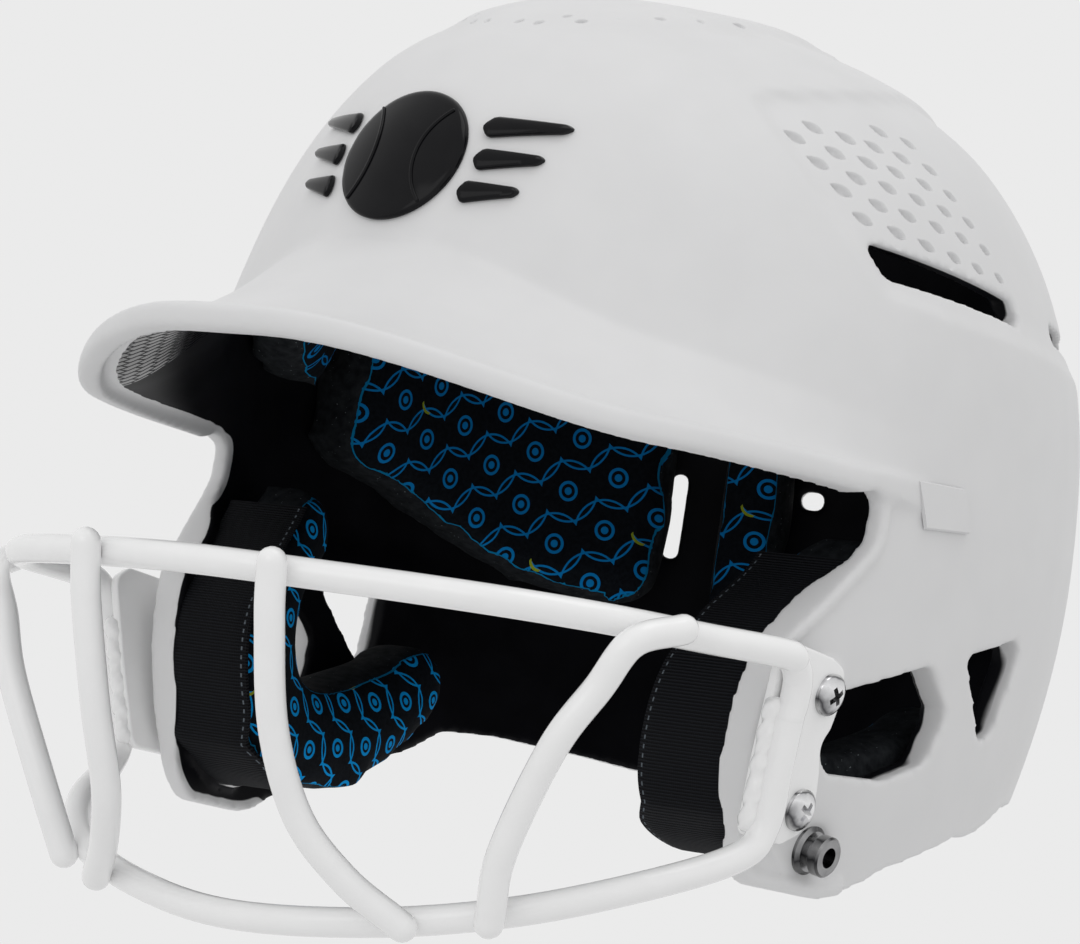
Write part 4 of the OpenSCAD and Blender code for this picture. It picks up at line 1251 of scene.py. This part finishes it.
def pads():
    front = loft(liner_loops(-80, 80, lambda u: mix(24, 6, smooth(45, 80, abs(u))), 50))
    side = loft(liner_loops(86, 147, lambda u: mix(-8, -31, smooth(84, 132, u)), 38))
    rear = loft(liner_loops(154.5, 166, lambda u: -30, 40))
    kinds = [
        ("front_cushion", front, "front_pad", round_the_head),
        ("side_cushion", side, "side_pad", round_the_head),
        ("rear_cushion", rear, "rear_pad", round_the_head),
        ("jaw_cushion", loft(jaw_loops()), "jaw_pad", across_the_head),
        ("crown_cushion", loft(crown_loops()), "crown_pad", under_the_crown),
    ]
    for name, part, node, inward_at in kinds:
        obj = new_object(name, *part)
        outward(obj)
        swollen(obj)
        made = [(obj, node)]
        if node not in ("front_pad", "crown_pad"):
            obj.name = f"{name}_left"
            twin = new_object(f"{name}_right", *flipped(unseated(coords(obj.data)), faces_of(obj.data)))
            made = [(obj, f"{node}_left"), (twin, f"{node}_right")]
        for piece, replaced in made:
            mark_print(piece, inward_at)
            slot = "jaw_fabric" if node == "jaw_pad" else "liner_fabric"
            finish_piece(piece, JAW_PRINT if node == "jaw_pad" else LINER_PRINT, slot, replaced)


def faces_of(mesh):
    return [tuple(p.vertices) for p in mesh.polygons]


pads()


def bands():
    """Ribbed woven band on the front wall of each jaw pad, crowned a little across."""
    front, back = curve(JAW_FRONT, 12), curve(JAW_BACK, 12)
    shares = np.linspace(0, 1, 9)
    loops, flat = [], []
    along = 0.0
    for i in range(8, 68):
        out = (front[i] - back[i]) / np.linalg.norm(front[i] - back[i])
        lift = np.array([0, out[0], out[1]])
        side = jaw_at(front[i], BAND_EDGE)
        width = min(BAND_W, jaw_deep(front[i]) - 2 * BAND_EDGE)
        along += float(np.linalg.norm(front[i] - front[i - 1]))
        top = [side + lift * (2 * GAP + BAND_T * (0.55 + 0.45 * (1 - (2 * k - 1) ** 8))) - [width * k, 0, 0]
               for k in shares]
        low = [side + lift * 1.2 * GAP - [width * k, 0, 0] for k in shares[::-1]]
        loops.append(np.array(top + low))
        flat += [(along, width * (1 - k), 0) for k in list(shares) + list(shares[::-1])]
    made = loft(loops)
    flat = np.array([(0, 0, 0), (0, 0, 0)] + flat, float)
    for name, part in (("left", made), ("right", flipped(*made))):
        obj = new_object(f"ribbed_band_{name}", *part)
        store(obj.data, "flat", flat)
        outward(obj)
        finish_piece(obj, RIBBED, "band_webbing", f"jaw_band_{name}", angle=50)


bands()

# Emblem
EMBLEM_Z, EMBLEM_R, EMBLEM_W, EMBLEM_T = 56.0, 17.0, 74.0, 1.8


def face_pt(x, z, h):
    """Point on the front of the shell by its x and z, raised by h."""
    x, z, h = np.broadcast_arrays(*(np.asarray(v, float) for v in (x, z, h)))
    u = np.degrees(np.arcsin(x / (half_w_at(z) * crown_scale(0, z, 0))))
    p = surf(u, z, -h)
    share = np.where(np.abs(x) > 1e-6, x / np.where(np.abs(p[..., 0]) > 1e-6, p[..., 0], 1), 1)
    return surf(np.degrees(np.arcsin(np.sin(np.radians(u)) * share)), z, -h)


def emblem_ball():
    """Low glossy dome with a curved raised seam on each side."""
    a = circle(96)
    rings = [(0.02, GAP), (1, GAP), (1, 0.6 * EMBLEM_T), (0.985, 0.85 * EMBLEM_T), (0.95, EMBLEM_T)]
    rings += [(k, EMBLEM_T + 0.9 * (1 - (k / 0.95) ** 2)) for k in np.linspace(0.9, 0.02, 14)]
    loops = [face_pt(EMBLEM_R * k * np.cos(a), EMBLEM_Z + EMBLEM_R * k * np.sin(a), h) for k, h in rings]
    parts = [loft(loops)]
    for side in (-1, 1):
        t = np.radians(np.linspace(-43, 43, 25))
        x = side * EMBLEM_R * (1.32 - 0.95 * np.cos(t))
        z = EMBLEM_R * 1.02 * np.sin(t)
        k = np.hypot(x, z) / EMBLEM_R
        path = face_pt(x, EMBLEM_Z + z, EMBLEM_T + 0.9 * (1 - (k / 0.95) ** 2) + 0.1)
        parts.append(tube(path, 0.45, 10, dome=True))
    return parts


BAR_ACROSS = np.array([-1, -1, -0.9, -0.72, 0, 0.72, 0.9, 1, 1])
BAR_UP = np.array([GAP, *(k * EMBLEM_T for k in (0.5, 0.8, 0.97, 1.05, 0.97, 0.8, 0.5)), GAP])


def emblem_bars():
    parts = []
    for side in (-1, 1):
        for k in (-1, 0, 1):
            x1 = EMBLEM_R + 2.5 + (1 if k == 0 else 0)
            x2 = EMBLEM_W / 2 - 2.5 * (1 - k)
            loops = []
            for t in 0.5 - 0.5 * np.cos(np.linspace(0, math.pi, 25)):
                x = mix(x1, x2, t)
                half = mix(3.0, 1.2, t) * min(1, math.sqrt(0.03 + 12 * min(t, 1 - t)))
                z = EMBLEM_Z + 8.5 * k + 0.12 * (x - x1)
                loops.append(face_pt(side * x, z + half * BAR_ACROSS, BAR_UP))
            parts.append(loft(loops))
    return parts


def emblem():
    made = []
    for part in emblem_ball() + emblem_bars():
        obj = new_object("emblem_part", *part)
        outward(obj)
        made.append(obj)
    finish_piece(merged(made, "raised_emblem"), EMBLEM, "emblem_gloss", "front_emblem", angle=45)


emblem()


# Screws
def screws():
    """Truss screws with a cross recess, two on each side."""
    r = SCREW_HEAD_D / 2
    dome = [(r * math.sin(t), 0.5 + 2.1 * math.cos(t)) for t in np.radians(np.linspace(0, 84, 14))]
    shank = -PLATE_T - SEAT_BACK + 1.5
    neck = SCREW_D / 2
    profile = [(0, 2.6)] + dome[1:] + [(r, 0.45), (r, 0.0), (neck, 0), (neck, shank), (0, shank)]
    pieces = []
    for side in (1, -1):
        for n, (y, z) in enumerate(SCREW_AT):
            made, faces = lathe(profile, 64)
            made[:, 2] += PLATE_T
            obj = new_object("screw", made, faces, place=None)
            outward(obj)
            for turn in (40 + 25 * n, 130 + 25 * n):
                cut(obj, new_object("slot", *cross_arm(turn, r * 0.55, 0.75, PLATE_T + 2.9), place=None))
            set_coords(obj.data, seated(on_seat(coords(obj.data), y, z) * [side, 1, 1]))
            if side < 0:
                obj.data.flip_normals()
            pieces.append(obj)
    finish_piece(merged(pieces, "truss_screws"), CHROME, "screw_chrome", "guard_screws", angle=35)


def cross_arm(turn, length, width, top):
    """Tapered arm of a cross recess, from top down to a narrower foot."""
    c, s = math.cos(math.radians(turn)), math.sin(math.radians(turn))
    verts = []
    for h, l, w in ((top - 2.4, length * 0.5, width * 0.55), (top, length, width)):
        for i, j in ((-l, -w), (l, -w), (l, w), (-l, w)):
            verts.append((i * c - j * s, i * s + j * c, h))
    faces = [(3, 2, 1, 0), (4, 5, 6, 7)] + [(i, (i + 1) % 4, 4 + (i + 1) % 4, 4 + i) for i in range(4)]
    return np.array(verts, float), faces


screws()

PLAIN = {
    "temple_badge_left": WHITE_SHELL, "temple_badge_right": WHITE_SHELL, "guard_t_nuts": ZINC,
    "chin_stud_left": GUNMETAL, "chin_stud_right": GUNMETAL,
    "chin_stud_washer_left": ZINC, "chin_stud_washer_right": ZINC,
}
for node_name, material in PLAIN.items():
    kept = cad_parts[node_name]
    kept.data.materials.clear()
    kept.data.materials.append(material)
    shade_smooth(kept, 30)


# Studio
LOW_LIGHT, HIGH_LIGHT, BACKDROP = 0.64, 0.82, 0.83


def studio():
    world = bpy.data.worlds.new("studio")
    world.use_nodes = True
    bpy.context.scene.world = world
    tree = world.node_tree
    ground = tree.nodes["Background"]
    path = tree.nodes.new("ShaderNodeLightPath")
    seen = path.outputs["Is Camera Ray"]
    for other in ("Is Glossy Ray", "Is Transmission Ray"):
        both = tree.nodes.new("ShaderNodeMath")
        both.operation = "MAXIMUM"
        tree.links.new(seen, both.inputs[0])
        tree.links.new(path.outputs[other], both.inputs[1])
        seen = both.outputs[0]
    parts = tree.nodes.new("ShaderNodeSeparateXYZ")
    tree.links.new(tree.nodes.new("ShaderNodeTexCoord").outputs["Generated"], parts.inputs[0])
    height = tree.nodes.new("ShaderNodeMapRange")
    for key, value in zip(("From Min", "From Max", "To Min", "To Max"), (-0.5, 0.8, LOW_LIGHT, HIGH_LIGHT)):
        height.inputs[key].default_value = value
    tree.links.new(parts.outputs[2], height.inputs["Value"])
    shade = tree.nodes.new("ShaderNodeMix")
    shade.data_type = "RGBA"
    tree.links.new(height.outputs["Result"], shade.inputs[6])
    shade.inputs[7].default_value = (BACKDROP, BACKDROP, BACKDROP, 1)
    tree.links.new(seen, shade.inputs[0])
    tree.links.new(shade.outputs[2], ground.inputs["Color"])
    view = bpy.context.scene.view_settings
    view.view_transform = "Standard"
    view.look = "None"


def softbox(name, place, aim, size, power):
    data = bpy.data.lights.new(name, "AREA")
    data.shape = "RECTANGLE"
    data.size, data.size_y = size
    data.energy = power
    lamp = bpy.data.objects.new(name, data)
    bpy.context.scene.collection.objects.link(lamp)
    lamp.location = place
    lamp.rotation_euler = (Vector(aim) - Vector(place)).to_track_quat("-Z", "Y").to_euler()


studio()
softbox("key", place=(0.2, -1.4, 0.9), aim=(0, 0, 0.1), size=(1.1, 0.8), power=2)
softbox("top", place=(0.55, 0.25, 1.7), aim=(0, 0, 0.15), size=(0.9, 0.9), power=3.2)
